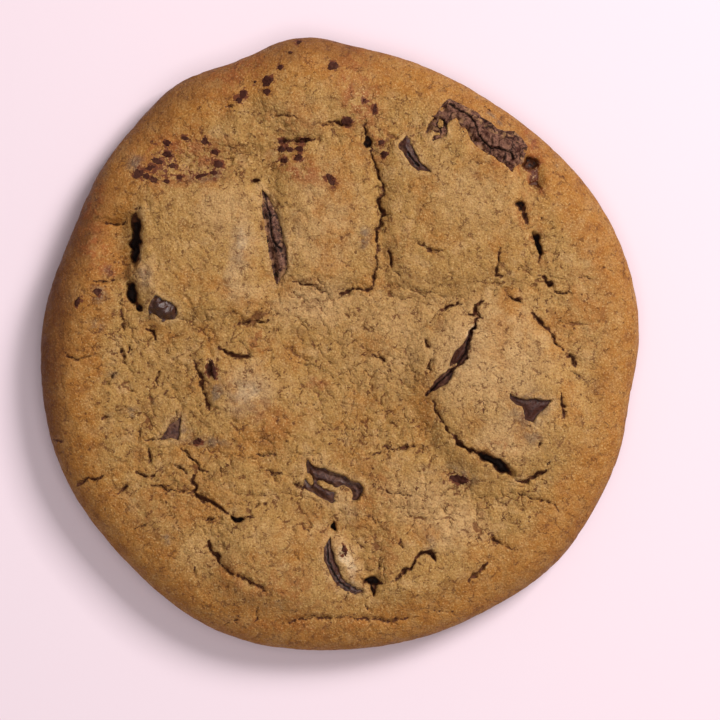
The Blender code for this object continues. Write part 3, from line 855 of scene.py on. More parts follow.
# Open gaps: middle, half sizes, turn in degrees and depth.
HOLES = (
    (-29.7, 15.2, 0.80, 3.9, -2, 3.0),
    (-30.2, 7.5, 0.80, 1.8, 8, 2.6),
    (-28.9, 5.4, 0.50, 0.7, 30, 1.6),
    (27.2, 26.2, 1.10, 0.80, 20, 1.1),
    (28.2, 23.1, 1.00, 0.45, -20, 0.5),
    (25.9, 20.2, 0.65, 0.60, 0, 1.6),
    (26.6, 18.3, 0.35, 1.0, 5, 0.9),
    (28.5, 14.5, 0.50, 1.8, 16, 2.2),
    (-0.9, -26.3, 0.45, 0.95, 10, 2.0),
    (4.4, -34.1, 1.30, 0.60, 10, 2.2),
    (4.7, -35.3, 0.50, 0.9, 10, 1.4),
    (22.2, -17.0, 3.20, 0.80, -34, 2.6),
    (-15.0, -25.2, 1.10, 0.45, 0, 1.9),
    (3.9, 29.2, 0.60, 0.8, 0, 1.6),
    (-18.9, -3.4, 0.50, 1.3, 10, 0.9),
    (-31.6, -0.9, 0.40, 0.5, 0, 0.9),
)

# Small folds and knobs: middle, half sizes, turn in degrees and height.
FOLDS = (
    (-29.5, 10.4, 1.2, 1.6, 0, 0.6),
    (-33.8, 19.6, 3.4, 1.6, -8, 0.7),
    (-33.4, 11.6, 1.5, 1.7, 0, 0.45),
    (1.2, -31.4, 1.3, 4.0, 28, 0.65),
    (16.9, 28.8, 1.6, 1.2, -40, 0.3),
    (-27.0, 9.0, 1.0, 2.0, 0, 0.3),
)

# Where the crust stayed pale: middle, half sizes, turn in degrees and strength.
PALED = (
    (21.0, -1.5, 8.5, 8.0, 20, 0.70),
    (24.0, -13.0, 4.5, 4.0, 0, 0.55),
    (-2.0, 18.0, 5.0, 9.0, 0, 0.45),
    (-17.0, 19.5, 5.0, 4.0, 0, 0.45),
    (-14.2, 14.0, 1.8, 5.0, -5, 0.85),
    (-14.6, 7.5, 3.0, 2.0, 0, 0.70),
    (-13.6, -6.4, 3.4, 3.2, 0, 0.85),
    (18.9, 1.5, 0.9, 3.6, -20, 0.90),
    (20.0, 22.0, 8.0, 6.0, 0, 0.30),
    (-5.0, 33.5, 4.0, 3.5, 0, 0.25),
    (-20.0, -30.0, 5.0, 3.0, 0, 0.25),
    (-10.0, -27.5, 5.5, 2.4, 0, 0.20),
    (-4.0, 6.2, 6.0, 3.2, 0, 0.65),
    (1.2, -31.4, 1.3, 4.0, 28, 1.00),
    (0.5, -22.0, 1.6, 2.2, 0, 0.60),
    (12.0, -22.0, 6.0, 3.5, 0, 0.50),
    (15.8, -26.0, 5.0, 3.5, 0, 0.60),
    (8.0, 2.0, 8.0, 8.0, 0, 0.35),
    (34.0, 4.0, 8.0, 12.0, 0, 0.20),
    (-28.5, 10.0, 1.6, 2.4, 0, 0.50),
)

# Where caramelised butter and sugar reddened the crust: middle, half sizes, turn in degrees and strength.
REDDENED = (
    (-6.3, 25.6, 4.4, 2.0, -30, 0.80),
    (2.6, 36.0, 3.0, 6.5, 12, 0.75),
    (5.6, 29.0, 1.6, 2.6, 0, 0.60),
    (-11.7, 0.6, 1.8, 1.6, 0, 0.60),
    (-3.6, -5.7, 2.2, 0.9, 0, 0.55),
    (22.0, 25.8, 1.2, 0.9, 0, 0.45),
    (-11.0, -10.4, 4.0, 2.4, -20, 0.35),
    (-15.0, 39.4, 4.4, 2.4, 30, 0.60),
    (-33.6, 10.8, 1.3, 1.4, 0, 0.90),
    (-35.6, 14.5, 2.2, 3.6, 0, 0.65),
    (-36.6, 20.5, 2.6, 4.0, -30, 0.55),
    (-23.0, 26.6, 7.4, 4.0, 5, 0.75),
    (-8.0, 32.2, 5.0, 2.6, 0, 0.35),
    (27.4, 26.0, 2.1, 1.8, 0, 1.00),
    (27.6, 29.4, 0.9, 2.6, 24, 0.85),
    (28.4, 22.8, 1.6, 1.0, -10, 0.90),
    (27.9, 24.2, 1.1, 1.8, 0, 1.00),
    (28.5, 14.5, 1.3, 2.6, 16, 0.55),
    (26.4, 18.6, 0.9, 1.8, 0, 0.60),
    (-1.5, 24.0, 1.8, 2.0, 0, 0.50),
    (-31.0, 8.0, 2.0, 3.0, 0, 0.40),
    (8.0, 14.0, 2.0, 4.0, 0, 0.25),
    (-8.0, -40.5, 12.0, 1.6, 0, 0.35),
    (5.0, -20.0, 3.0, 6.0, 0, 0.30),
    (6.0, -29.5, 3.0, 4.0, 0, 0.35),
    (-2.0, -26.0, 5.0, 3.0, 0, 0.25),
    (23.6, -14.6, 2.4, 1.0, 0, 0.40),
    (-9.0, -34.5, 10.0, 3.2, -8, 0.40),
    (36.0, 8.0, 3.0, 9.0, 0, 0.25),
    (-26.0, -24.0, 5.0, 4.0, 0, 0.25),
)

# Where chocolate melted into the crust and left it grey: middle, half sizes, turn in degrees and strength.
SMEARED = (
    (3.3, 15.4, 1.5, 0.9, 70, 0.80),
    (-18.2, -6.2, 1.1, 2.6, 10, 0.75),
    (-13.9, -7.3, 3.6, 3.0, 0, 0.40),
    (-19.4, -14.0, 3.6, 0.7, -6, 0.65),
    (-29.9, -9.7, 0.8, 0.7, 0, 0.80),
    (-25.1, -28.0, 0.8, 0.7, 0, 0.80),
    (12.8, -28.5, 0.7, 2.0, 10, 0.50),
    (-15.0, 12.6, 1.3, 5.0, -8, 0.40),
    (-28.2, 9.9, 1.0, 1.5, 0, 0.60),
    (-29.0, 14.0, 0.5, 2.0, 0, 0.60),
    (27.4, -13.0, 1.4, 1.6, 0, 0.55),
    (26.9, -9.2, 3.0, 3.0, 0, 0.60),
    (1.4, -24.6, 1.2, 1.6, 0, 0.35),
    (-35.1, 2.6, 1.0, 0.8, 0, 0.75),
    (-34.9, 7.2, 1.2, 1.1, 0, 0.70),
    (-33.0, -4.5, 0.9, 0.7, 0, 0.50),
    (-23.2, -11.9, 1.6, 2.0, 40, 0.55),
    (17.2, -18.8, 2.4, 1.5, -15, 0.60),
    (12.4, -18.0, 1.6, 0.8, 0, 0.35),
    (-26.5, -8.0, 0.8, 0.6, 0, 0.45),
    (-7.2, 15.0, 1.2, 5.0, -12, 0.30),
    (31.2, 26.8, 0.5, 1.1, 0, 0.60),
    (22.0, 32.9, 1.8, 0.4, -35, 0.75),
    (-29.9, 26.0, 1.0, 1.6, -30, 0.75),
    (-19.4, 24.6, 2.6, 1.0, 5, 0.60),
    (17.0, -2.6, 1.6, 3.4, -30, 0.30),
)

# Flecks of chocolate that lay at the surface and stained the crust round them: middle, length, width and
# turn in degrees.
FLECKS = (
    (-6.1, 43.9, 0.7, 0.6, 20),
    (-7.3, 42.3, 0.5, 0.4, 0),
    (-8.7, 40.1, 0.7, 0.6, 60),
    (-10.5, 38.1, 1.6, 1.2, 62),
    (-10.7, 36.6, 0.9, 0.9, 0),
    (-12.4, 38, 0.5, 0.4, 0),
    (-14.1, 36.2, 1.3, 1.2, 50),
    (-14.7, 35.3, 1.0, 0.9, 20),
    (-1.1, 40.3, 1.3, 1.2, 70),
    (0.9, 32.3, 1.7, 1.3, 20),
    (4.9, 34, 1.7, 0.7, 80),
    (3.4, 35.3, 0.6, 0.6, 0),
    (-8.4, 29.4, 1.4, 0.6, 0),
    (-5.4, 29.5, 1.7, 0.7, 10),
    (-8.6, 28.2, 1.2, 0.9, 5),
    (-7.4, 28.2, 1.0, 0.9, 0),
    (-6, 28.3, 1.3, 0.9, 0),
    (-8.2, 26.6, 1.3, 0.7, -10),
    (-6.2, 27, 1.4, 0.9, 10),
    (-1.5, 23.8, 2.2, 1.0, -65),
    (-19.6, 29.4, 1.2, 1.0, -60),
    (-18.2, 27.8, 1.2, 0.9, -30),
    (-17.7, 26.1, 1.6, 1.2, -30),
    (6.2, 27.5, 1.3, 0.9, 15),
    (5.8, 29.2, 0.9, 0.7, 20),
    (-25.1, 27.5, 1.7, 1.0, -15),
    (-26.6, 26.6, 2.0, 1.0, -10),
    (-29.3, 24.8, 1.9, 1.4, 45),
    (-27.5, 25.6, 1.4, 0.9, 10),
    (-24.4, 25.9, 1.2, 0.7, 10),
    (-27.3, 29.4, 0.7, 0.4, 20),
    (-25.1, 29.2, 1.3, 0.9, -10),
    (-22.5, 29.8, 1.3, 0.6, -10),
    (-20.2, 24.4, 2.3, 0.6, 15),
    (-18.4, 24.9, 1.3, 0.6, 0),
    (-27.1, 23.8, 1.4, 0.9, -15),
    (-25.1, 23.6, 0.9, 0.7, 0),
    (-23.3, 24.2, 1.0, 0.6, 0),
    (-28.1, 24.4, 1.0, 0.9, 30),
    (-18.6, -3.5, 2.9, 1.2, -75),
    (-35.1, 7.7, 1.2, 1.0, -50),
    (-38, 6.2, 1.3, 0.6, 70),
    (0.5, -29.6, 1.6, 0.7, -75),
    (17, -19.4, 2.8, 1.3, -15),
    (-20.7, -13.9, 1.4, 0.9, 30),
)

# Where flakes of chocolate melted flat into the crust: middle, half sizes, turn in degrees and strength.
STAINED = (
    (-25.6, 25.2, 5.0, 1.9, -4, 0.70),
    (-24.5, 27.6, 4.0, 2.4, 0, 0.40),
    (-18.6, 26.6, 1.6, 3.6, 20, 0.60),
    (-16.0, 24.0, 3.0, 1.0, -10, 0.55),
    (-7.0, 27.8, 3.0, 1.8, 0, 0.60),
    (-1.6, 23.8, 1.0, 1.6, 20, 0.45),
    (5.9, 28.4, 0.9, 1.8, 0, 0.60),
    (-10.6, 37.2, 1.0, 1.6, 0, 0.45),
    (-14.4, 35.8, 1.2, 1.2, 0, 0.45),
    (-12.0, 0.6, 2.0, 1.6, 0, 0.40),
    (-3.4, -5.6, 2.2, 1.0, 0, 0.35),
    (21.9, 25.9, 1.0, 0.8, 0, 0.50),
    (13.4, 10.8, 1.0, 1.6, 0, 0.30),
    (12.4, 0.2, 0.8, 1.4, 0, 0.45),
    (24.5, -7.0, 1.6, 0.7, -10, 0.50),
)


def bent(x, y):
    """Where a point is once the wander of torn edges is taken into account."""
    bent_x = x + 0.34 * waves(x, y, 1.5, 21) + 0.16 * waves(x, y, 0.55, 22)
    bent_y = y + 0.34 * waves(x, y, 1.5, 23) + 0.16 * waves(x, y, 0.55, 24)
    return bent_x, bent_y


def cracks(x, y):
    """How deep the splits run at each point, and how much painted shade they get: 1 in the middle of a deep
    one.
    """
    depth, shade = np.zeros_like(x), np.zeros_like(x)
    bent_x, bent_y = bent(x, y)
    bent_x = bent_x + 0.26 * waves(x, y, 0.8, 26)
    bent_y = bent_y + 0.26 * waves(x, y, 0.8, 27)
    thick = np.clip(0.85 + 0.75 * waves(x, y, 0.75, 25), 0.15, 1.6)
    for width, deep, path in CRACKS:
        column, row = np.array(path).T
        close = (np.abs(bent_x - (column.min() + column.max()) / 2) < np.ptp(column) / 2 + 2) & (
            np.abs(bent_y - (row.min() + row.max()) / 2) < np.ptp(row) / 2 + 2
        )
        away, along = path_distance(bent_x[close], bent_y[close], path)
        taper = 0.4 + 0.6 * smooth_step(0, 0.3, along) * smooth_step(0, 0.3, 1 - along)
        deepest = smooth_step(0.9, 2.0, deep)
        broken = thick[close] * (1 - deepest) + (0.5 + 0.5 * thick[close]) * deepest
        half = 0.5 * width * taper * broken
        opened = 1 - smooth_step(0.1 * half, half + 0.10, away)
        slumped = 0.12 * deep * (1 - smooth_step(0, 1.6, away))
        depth[close] = np.maximum(depth[close], deep * taper * opened * np.clip(broken, 0, 1) + slumped)
        # Painted shade: darker the deeper the split runs.
        dark = np.clip(1 - away / (half + 0.40), 0, 1) * min(1, 0.44 + 0.23 * deep)
        shade[close] = np.maximum(shade[close], dark * np.clip(0.35 + broken, 0, 1))
    return depth, shade


def over_chocolate(x, y):
    """For each point, how far it lies inside a chunk's outline, the level there, and how near a lip is."""
    bare, floor, lip = np.zeros_like(x), np.zeros_like(x), np.zeros_like(x)
    bent_x, bent_y = bent(x, y)
    flap = flap_share(bent_x, bent_y)
    for made in CHUNKS.values():
        column, row = np.array(made["outline"]).T
        close = (x > column.min() - 2) & (x < column.max() + 2) & (y > row.min() - 2) & (y < row.max() + 2)
        near_x, near_y = (x + 0.6 * (bent_x - x))[close], (y + 0.6 * (bent_y - y))[close]
        away = outline_distance(near_x, near_y, made["outline"])
        inside = 1 - smooth_step(-0.14, 0.10, away)
        level = chunk_seat(made) + 0.7 * (top_level(x[close], y[close]) - chunk_seat(made) + made["rise"])
        level = level + FLAP_HEIGHT - (FLAP_HEIGHT + POCKET_DROP) * (1 - flap[close])
        floor[close] = np.where(inside > bare[close], level, floor[close])
        bare[close] = np.maximum(bare[close], inside)
        lip[close] = np.maximum(lip[close], np.exp(-(((away - 0.45) / 0.55) ** 2)))
    return bare, floor, lip, flap


def holes(x, y):
    """How deep the open gaps are at each point, and how much painted shade they get, more for deeper ones.
    """
    depth, shade = np.zeros_like(x), np.zeros_like(x)
    bent_x, bent_y = bent(x, y)
    bent_x = bent_x + 0.45 * waves(x, y, 1.1, 28)
    bent_y = bent_y + 0.45 * waves(x, y, 1.1, 29)
    for *gap, deep in HOLES:
        a, b = turned(bent_x, bent_y, *gap)
        opened = 1 - smooth_step(0.45, 1.25, np.hypot(a, b))
        depth = np.maximum(depth, deep * opened)
        # Painted shade: darker the deeper the gap runs.
        shade = np.maximum(shade, np.clip(opened * 1.3, 0, 1) * min(1, 0.55 + 0.22 * deep))
    return depth, shade


def folds(x, y):
    """Small folds and knobs that stand on the crust."""
    total = np.zeros_like(x)
    for middle_x, middle_y, half_x, half_y, degrees, height in FOLDS:
        share = blot(x, y, middle_x, middle_y, half_x, half_y, degrees, edge=0.45)
        total = np.maximum(total, height * share)
    return total


def torn_cells(x, y, cell, seed):
    """Irregular cells: how far a point is from its cell's border, as a share of the cell's size."""
    spread = np.random.default_rng(seed).uniform(0, 1, (97, 97, 2))
    column, row = np.floor(x / cell).astype(int), np.floor(y / cell).astype(int)
    first, second = np.full(x.shape, 9.0), np.full(x.shape, 9.0)
    for i in (-1, 0, 1):
        for j in (-1, 0, 1):
            place = spread[(column + i) % 97, (row + j) % 97]
            away = np.hypot(column + i + place[..., 0] - x / cell, row + j + place[..., 1] - y / cell)
            second = np.minimum(np.maximum(first, away), second)
            first = np.minimum(first, away)
    return second - first


def plates(x, y):
    """The borders between the plates that the crust tore into, open only here and there."""
    bent_x = x + 0.8 * waves(x, y, 1.9, 31) + 0.35 * waves(x, y, 0.8, 32)
    bent_y = y + 0.8 * waves(x, y, 1.9, 33) + 0.35 * waves(x, y, 0.8, 34)
    border = torn_cells(bent_x, bent_y, 3.1, 35)
    uneven = waves(x, y, 2.1, 36) + 0.5 * waves(x, y, 7.0, 37)
    torn = smooth_step(-0.15, 0.35, uneven + crazing_share(x, y) - 0.80)
    return (1 - smooth_step(0.0, 0.12, border)) * torn


def pebbles(x, y):
    """Small rounded crumbs of crust, with grooves between them: 0 on a crumb and 1 in a groove."""
    bent_x = x + 0.45 * waves(x, y, 1.1, 38)
    bent_y = y + 0.45 * waves(x, y, 1.1, 39)
    return 1 - smooth_step(0.0, 0.45, torn_cells(bent_x, bent_y, 1.7, 40))


def crazing_share(x, y):
    """How much of the crust crazed, from 0 to 1."""
    inland = smooth_step(3.0, 11.0, edge_radius(np.arctan2(y, x)) - np.hypot(x, y))
    return inland * (1 - 0.65 * smooth_step(0.5, 1.1, lumps(x, y)))


def dough_relief(x, y):
    """How far the top stands above the plain disc: lumps, splits, crazing, grit and small gouges."""
    inland = smooth_step(1.5, 9.0, edge_radius(np.arctan2(y, x)) - np.hypot(x, y))
    grit = sum(height * waves(x, y, cell, 41 + n) for n, (height, cell) in enumerate(GRIT))
    gouge = smooth_step(0.42, 0.75, waves(x, y, GOUGES[1], 45))
    gouge = gouge * smooth_step(0.0, 0.4, waves(x, y, 4.5, 46))
    split, _ = cracks(x, y)
    gap, _ = holes(x, y)
    opened = np.maximum(split, gap)
    level = lumps(x, y) + folds(x, y) - dips(x, y) + swells(x, y) + grit * (0.45 + 0.55 * inland)
    share = 0.15 + 0.55 * crazing_share(x, y) + 0.5 * smooth_step(0.02, 0.25, opened)
    crumbly = PEBBLE_DEPTH * pebbles(x, y) * share
    return level - GOUGES[0] * gouge * inland - opened - crumbly - PLATE_DEPTH * plates(x, y)


def trimmed(level):
    """A level, eased off where it comes near the highest that the dough stands."""
    over = np.maximum(level - (HIGHEST - 0.5), 0)
    return level - over + 0.5 * (1 - np.exp(-over / 0.5))


def dough_point(u, v, ring):
    """Places a grid point on the crust, and the rings drawn down from its border round wall and base."""
    across, along = u * np.sqrt(1 - v * v / 2), v * np.sqrt(1 - u * u / 2)
    share, angle = np.hypot(across, along), np.arctan2(along, across)
    far = edge_radius(angle)
    over = np.clip((share - RIM_SHARE) / (1 - RIM_SHARE), 0, 1) * math.pi / 2
    inward = 1 - np.sin(over) ** (2 / RIM_POWER)
    rim_level = WIDEST_LEVEL + (RIM_LEVEL - WIDEST_LEVEL) * np.cos(over) ** (2 / RIM_POWER)
    reach = np.where(share < RIM_SHARE, (far - RIM_ROLL) * share / RIM_SHARE, far - RIM_ROLL * inward)

    turn = np.clip(ring / WALL_RINGS, 0, 1) * math.pi / 2
    down = ring > 0
    reach = np.where(down, far - (1 - np.cos(turn)) * BASE_TUCK, reach)
    under = np.clip((ring - WALL_RINGS) / BASE_RINGS, 0, 1)
    reach = reach * (1 - under)

    arc_x, arc_y = RADIUS * np.cos(angle), RADIUS * np.sin(angle)
    height = np.where(down, WIDEST_LEVEL * (1 - np.sin(turn)), rim_level)
    worn = 0.55 * waves(arc_x + height, arc_y - height, 3.2, 51)
    worn = worn + 0.45 * waves(arc_x - height, arc_y + height, 1.1, 52)
    steep = smooth_step(0.90, 1.0, share) * (1 - under)
    reach = reach - WALL_UNEVEN * np.clip(0.10 + 0.6 * worn, 0, 1) * steep

    x, y = reach * np.cos(angle), reach * np.sin(angle)
    top = np.where(share < RIM_SHARE, plain_level(x, y), rim_level)
    top = top + dough_relief(x, y) * (1 - smooth_step(RIM_SHARE + 0.02, 1.0, share))
    bare, floor, lip, _ = over_chocolate(x, y)
    top = trimmed(top + LIP_HEIGHT * lip * (1 - bare))
    top = top * (1 - bare) + np.minimum(top, floor) * bare
    return np.column_stack([x, y, np.where(down, height, top)])


def build_dough():
    deselect()
    bpy.ops.mesh.primitive_grid_add(x_subdivisions=GRID, y_subdivisions=GRID, size=2)
    made = bpy.context.object
    made.name = made.data.name = "baked_dough"
    bpy.ops.object.mode_set(mode="EDIT")
    bpy.ops.mesh.select_all(action="DESELECT")
    bpy.ops.mesh.select_mode(type="EDGE")
    bpy.ops.mesh.select_non_manifold()
    for _ in range(WALL_RINGS + BASE_RINGS):
        bpy.ops.mesh.extrude_region_move(TRANSFORM_OT_translate={"value": (0, 0, -1)})
    bpy.ops.object.mode_set(mode="OBJECT")

    flat = np.empty(len(made.data.vertices) * 3)
    made.data.vertices.foreach_get("co", flat)
    u, v, ring = flat.reshape(-1, 3).T
    put_points(made.data, dough_point(u, v, np.round(-ring)))
    bpy.ops.object.mode_set(mode="EDIT")
    bpy.ops.mesh.select_all(action="SELECT")
    bpy.ops.mesh.remove_doubles(threshold=0.002 * MM)
    bpy.ops.mesh.normals_make_consistent(inside=False)
    bpy.ops.object.mode_set(mode="OBJECT")
    thinned = made.modifiers.new("thinned", "DECIMATE")
    thinned.ratio = DOUGH_TRIANGLES / (2 * len(made.data.polygons))
    bpy.ops.object.modifier_apply(modifier="thinned")
    made.data.shade_smooth()
    return made


def shades(made, name, *columns):
    """Keeps up to four values between 0 and 1 at each point of a mesh, for its paint to read."""
    held = made.data.attributes.new(name, "FLOAT_COLOR", "POINT")
    held.data.foreach_set("color", np.clip(np.column_stack(columns), 0, 1).ravel())


def strongest(x, y, patches, edge=0.6):
    """The strongest of several soft patches at each point."""
    share = np.zeros_like(x)
    for *patch, strength in patches:
        share = np.maximum(share, strength * blot(x, y, *patch, edge=edge))
    return share


def shade_dough(made):
    """Works out where the crust went brown, stayed pale, reddened, went grey, was stained or split, and
    where painted shade darkens the rim and fills the splits and gaps.
    """
    x, y, z = points_of(made.data).T
    angle = np.arctan2(y, x)
    inland = edge_radius(angle) - np.hypot(x, y)
    below = smooth_step(WIDEST_LEVEL, 0.5, z)
    upper = 1 - below
    drift = 1.8 * waves(x, y, 7.0, 61) + 1.0 * waves(x, y, 2.5, 62)
    # Painted shade: on the left and lower right the rim's darkening stands in for shade as well as
    # browning.
    browner_and_shaded = np.zeros_like(x)
    for direction, width, strength in BROWNEST_AND_SHADED:
        away = (np.degrees(angle) - direction + 180) % 360 - 180
        browner_and_shaded = np.maximum(browner_and_shaded, strength * np.exp(-((away / width) ** 2)))
    reach = 10.0 + 3.0 * browner_and_shaded
    browning_and_shade = (1 - smooth_step(0.0, reach, inland + drift)) * (0.56 + 0.44 * browner_and_shaded)
    browning_and_shade = np.maximum(browning_and_shade, below)
    bent_x, bent_y = bent(x, y)
    soft_x, soft_y = bent_x + 1.2 * waves(x, y, 4.0, 64), bent_y + 1.2 * waves(x, y, 4.0, 65)
    _, split = cracks(x, y)
    _, gap = holes(x, y)
    bare, _, lip, flap = over_chocolate(x, y)
    # The splits and gaps carry their painted shade into the colour here.
    inside = np.maximum(smooth_step(0.35, 0.9, bare) * (1 - flap), np.maximum(split, gap))
    pale = np.maximum(strongest(soft_x, soft_y, PALED, 0.8), 0.4 * lip) * (1 - browning_and_shade)
    red = strongest(bent_x, bent_y, REDDENED)
    grey = strongest(bent_x, bent_y, SMEARED)
    stained = strongest(bent_x, bent_y, STAINED)
    for middle_x, middle_y, length, width, degrees in FLECKS:
        patch = (middle_x, middle_y, 0.5 * length + 0.35, 0.5 * width + 0.35, degrees)
        stained = np.maximum(stained, 0.95 * blot(bent_x, bent_y, *patch, edge=0.5))
    shades(made, "bake", browning_and_shade, pale, red * upper, plates(x, y) * upper)
    shades(made, "marks", inside * upper, grey * upper, crazing_share(x, y) * upper, stained * upper)


# Where the rim is painted darker than elsewhere: direction and width in degrees, and share. It is deeper
# browning, except at 172 degrees, the left rim, where it is browning and painted shade together, and at 318
# degrees, the lower right rim, where it is painted shade.
BROWNEST_AND_SHADED = ((172, 34, 1.0), (122, 26, 0.55), (95, 16, 0.60), (318, 22, 0.30), (45, 20, 0.15))

CRUST_TAN = colour(168, 124, 65)
CRUST_PALE = colour(187, 145, 94)
CRUST_CREAM = colour(214, 180, 138)
CRUST_GOLD = colour(163, 105, 40)
CRUST_BROWN = colour(98, 50, 12)
CRUST_RED = colour(142, 74, 32)
CRUST_AMBER = colour(84, 32, 9)
CRUST_GREY = colour(104, 86, 74)
STAIN_BROWN = colour(102, 50, 24)
CRACK_BROWN_AND_SHADE = colour(82, 40, 16)
CRACK_SHADOW = colour(30, 11, 5)
HAIRLINE_BROWN = colour(98, 50, 18)
PIT_BROWN = colour(92, 46, 18)
SUGAR_PALE = colour(206, 166, 112)


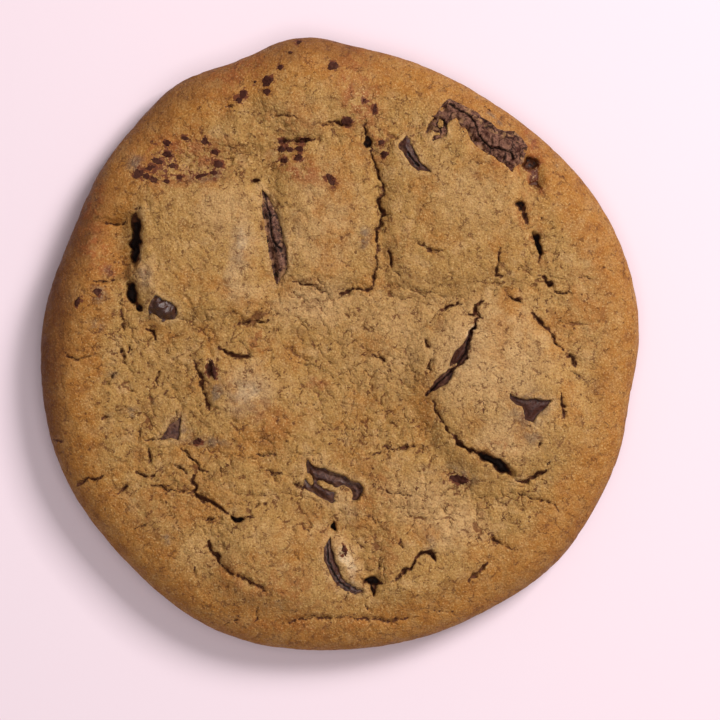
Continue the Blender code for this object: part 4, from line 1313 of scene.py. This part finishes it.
def dough_paint():
    """Crust: tan and sandy, golden to brown at the rim, pale on the lumps, dark in its splits; the darkest
    rim and the splits carry painted shade.
    """
    paint, tree, shader, place = new_paint("baked_crust")
    browning_and_shade, pale, red, torn = shades_of(tree, "bake")
    inside, grey, crazing, stained = shades_of(tree, "marks")
    grain = grain_of(tree, place, 1.0)
    finer = grain_of(tree, place, 0.5)
    clouds = noise(tree, place, 7.0, 4, 0.6)

    def times(first, second):
        return calculate(tree, "MULTIPLY", first, second)

    soft = noise(tree, place, 2.6, 4, 0.6)
    surface = blend(tree, stretch(tree, pale, 0.0, 0.7), CRUST_TAN, CRUST_PALE)
    surface = blend(tree, stretch(tree, pale, 0.72, 0.95), surface, CRUST_CREAM)
    surface = blend(tree, stretch(tree, soft, 0.52, 0.70, 0.0, 0.60), surface, CRUST_PALE)
    gold_clouds = stretch(tree, clouds, 0.48, 0.64, 0.0, 0.75)
    golden = calculate(tree, "ADD", stretch(tree, browning_and_shade, 0.05, 0.45), gold_clouds, clamp=True)
    golden = times(golden, stretch(tree, soft, 0.62, 0.40, 0.60, 1.0))
    surface = blend(tree, golden, surface, CRUST_GOLD)
    # Painted shade as well as browning: the darkest rim colour, strongest on the left rim.
    dark_rim_and_shade = times(stretch(tree, browning_and_shade, 0.50, 1.0), stretch(tree, clouds, 0.3, 0.6, 0.7, 1.0))
    surface = blend(tree, dark_rim_and_shade, surface, CRUST_BROWN)
    surface = blend(tree, stretch(tree, soft, 0.46, 0.28, 0.0, 0.46), surface, CRUST_BROWN)
    mottle = stretch(tree, grain["Coarse"], 0.44, 0.58)
    surface = blend(tree, times(red, mottle), surface, CRUST_RED)
    surface = blend(tree, stretch(tree, red, 0.78, 0.97), surface, CRUST_AMBER)
    surface = blend(tree, times(grey, stretch(tree, grain["Coarse"], 0.38, 0.60)), surface, CRUST_GREY)

    # Sandy grain: darker and lighter grains, the light ones being sugar.
    surface = blend(tree, stretch(tree, finer["Fine"], 0.50, 0.34, 0.0, 0.52), surface, CRUST_BROWN)
    sugar = stretch(tree, finer["Fine"], 0.53, 0.70, 0.0, 0.65)
    sugar = times(sugar, stretch(tree, browning_and_shade, 0.2, 1.0, 1.0, 0.25))
    surface = blend(tree, sugar, surface, SUGAR_PALE)
    surface = blend(tree, stretch(tree, grain["Crumbs"], 0.4, 0.0, 0.0, 0.15), surface, CRUST_BROWN)
    surface = blend(tree, times(finer["Pits"], 0.45), surface, PIT_BROWN)
    pitted = times(grain["Pits"], stretch(tree, crazing, 0.0, 1.0, 0.60, 0.95))
    surface = blend(tree, pitted, surface, PIT_BROWN)

    # Splits: the mesh holds how near one is, and a quick noise makes its edges ragged. Their brown is
    # partly the split's own colour and partly painted shade, and the near-black in deep splits and gaps is
    # painted shade.
    ragged = calculate(tree, "SUBTRACT", times(noise(tree, place, 0.42, 2, 0.6), 0.9), 0.45)
    split_shade = calculate(tree, "ADD", inside, ragged)
    near_tear = calculate(tree, "ADD", times(torn, 0.75), ragged)
    hairlines = times(grain["Hairlines"], stretch(tree, crazing, 0.1, 0.9, 0.62, 0.90))
    lines = calculate(tree, "MAXIMUM", hairlines, times(stretch(tree, near_tear, 0.46, 0.70), 0.80))
    surface = blend(tree, lines, surface, HAIRLINE_BROWN)
    blotch = calculate(tree, "ADD", noise(tree, place, 0.75, 3, 0.6, 0.4), times(stained, 0.30))
    blotch = times(stretch(tree, blotch, 0.70, 0.78), stretch(tree, stained, 0.1, 0.5))
    surface = blend(tree, blotch, surface, STAIN_BROWN)
    surface = blend(tree, stretch(tree, split_shade, 0.34, 0.56), surface, CRACK_BROWN_AND_SHADE)
    surface = blend(tree, stretch(tree, split_shade, 0.68, 0.95), surface, CRACK_SHADOW)
    tree.links.new(surface, shader.inputs["Base Color"])

    matt = stretch(tree, grain["Coarse"], 0.35, 0.65, 0.62, 0.85)
    glazed = calculate(tree, "SUBTRACT", matt, times(stretch(tree, red, 0.5, 1.0), 0.32))
    tree.links.new(glazed, shader.inputs["Roughness"])
    shader.inputs["Specular IOR Level"].default_value = 0.3
    shader.inputs["Subsurface Weight"].default_value = 0.1
    shader.inputs["Subsurface Radius"].default_value = (1.0, 0.5, 0.25)
    shader.inputs["Subsurface Scale"].default_value = 0.0015

    height = times(grain["Fine"], 0.16)
    height = calculate(tree, "ADD", height, times(finer["Fine"], 0.07))
    height = calculate(tree, "ADD", height, times(grain["Coarse"], 0.42))
    rounded = times(grain["Crumbs"], stretch(tree, crazing, 0.0, 0.9, 0.04, 0.10))
    height = calculate(tree, "ADD", height, rounded)
    height = calculate(tree, "SUBTRACT", height, times(grain["Pits"], 0.10))
    height = calculate(tree, "SUBTRACT", height, times(lines, 0.06))
    bump_of(tree, shader, height)
    return paint


dough = build_dough()
shade_dough(dough)
dough.data.materials.append(dough_paint())
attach(dough, "root")
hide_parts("dough")

# ---------------------------------------------------------------------------------------------------------
# Flecks: crumbs of the chopped chocolate that lay at the surface and melted a little into the crust.
# ---------------------------------------------------------------------------------------------------------
def build_fleck(number, middle_x, middle_y, length, width, degrees):
    """A crumb that melted nearly flat, with an uneven outline, most of it sunk into the crust."""
    deselect()
    bpy.ops.mesh.primitive_ico_sphere_add(subdivisions=4, radius=1)
    fleck = bpy.context.object
    flat = np.empty(len(fleck.data.vertices) * 3)
    fleck.data.vertices.foreach_get("co", flat)
    a, b, c = flat.reshape(-1, 3).T
    swell = 1.12 + 0.45 * waves(a + 3, b + 3, 0.9, 200 + number)
    swell = swell + 0.30 * waves(a + 3, b + 3, 0.35, 300 + number)
    a, b = 0.5 * length * a * swell, 0.5 * width * b * swell
    turn = math.radians(degrees)
    x = middle_x + math.cos(turn) * a - math.sin(turn) * b
    y = middle_y + math.sin(turn) * a + math.cos(turn) * b
    crust = top_level(x, y) - (lumps(x, y) - dips(x, y) + swells(x, y)) + dough_relief(x, y)
    z = crust + 0.05 - 0.25 * np.maximum(1 - c, 0) ** 2 + 0.04 * waves(x, y, 0.35, 320)
    put_points(fleck.data, np.column_stack([x, y, np.minimum(z, HIGHEST)]))
    bloom = np.random.default_rng(400 + number).uniform(0.0, 0.15)
    shades(fleck, "marks", np.full(len(x), bloom), np.zeros(len(x)), np.full(len(x), 0.3), np.zeros(len(x)))
    fleck.data.shade_smooth()
    return fleck


fleck_parts = [build_fleck(number, *fleck) for number, fleck in enumerate(FLECKS)]
deselect()
for part in fleck_parts:
    part.select_set(True)
bpy.context.view_layer.objects.active = fleck_parts[0]
bpy.ops.object.join()
flecks = bpy.context.object
flecks.name = flecks.data.name = "chocolate_flecks"
flecks.data.materials.append(CHOCOLATE)
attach(flecks, "root")
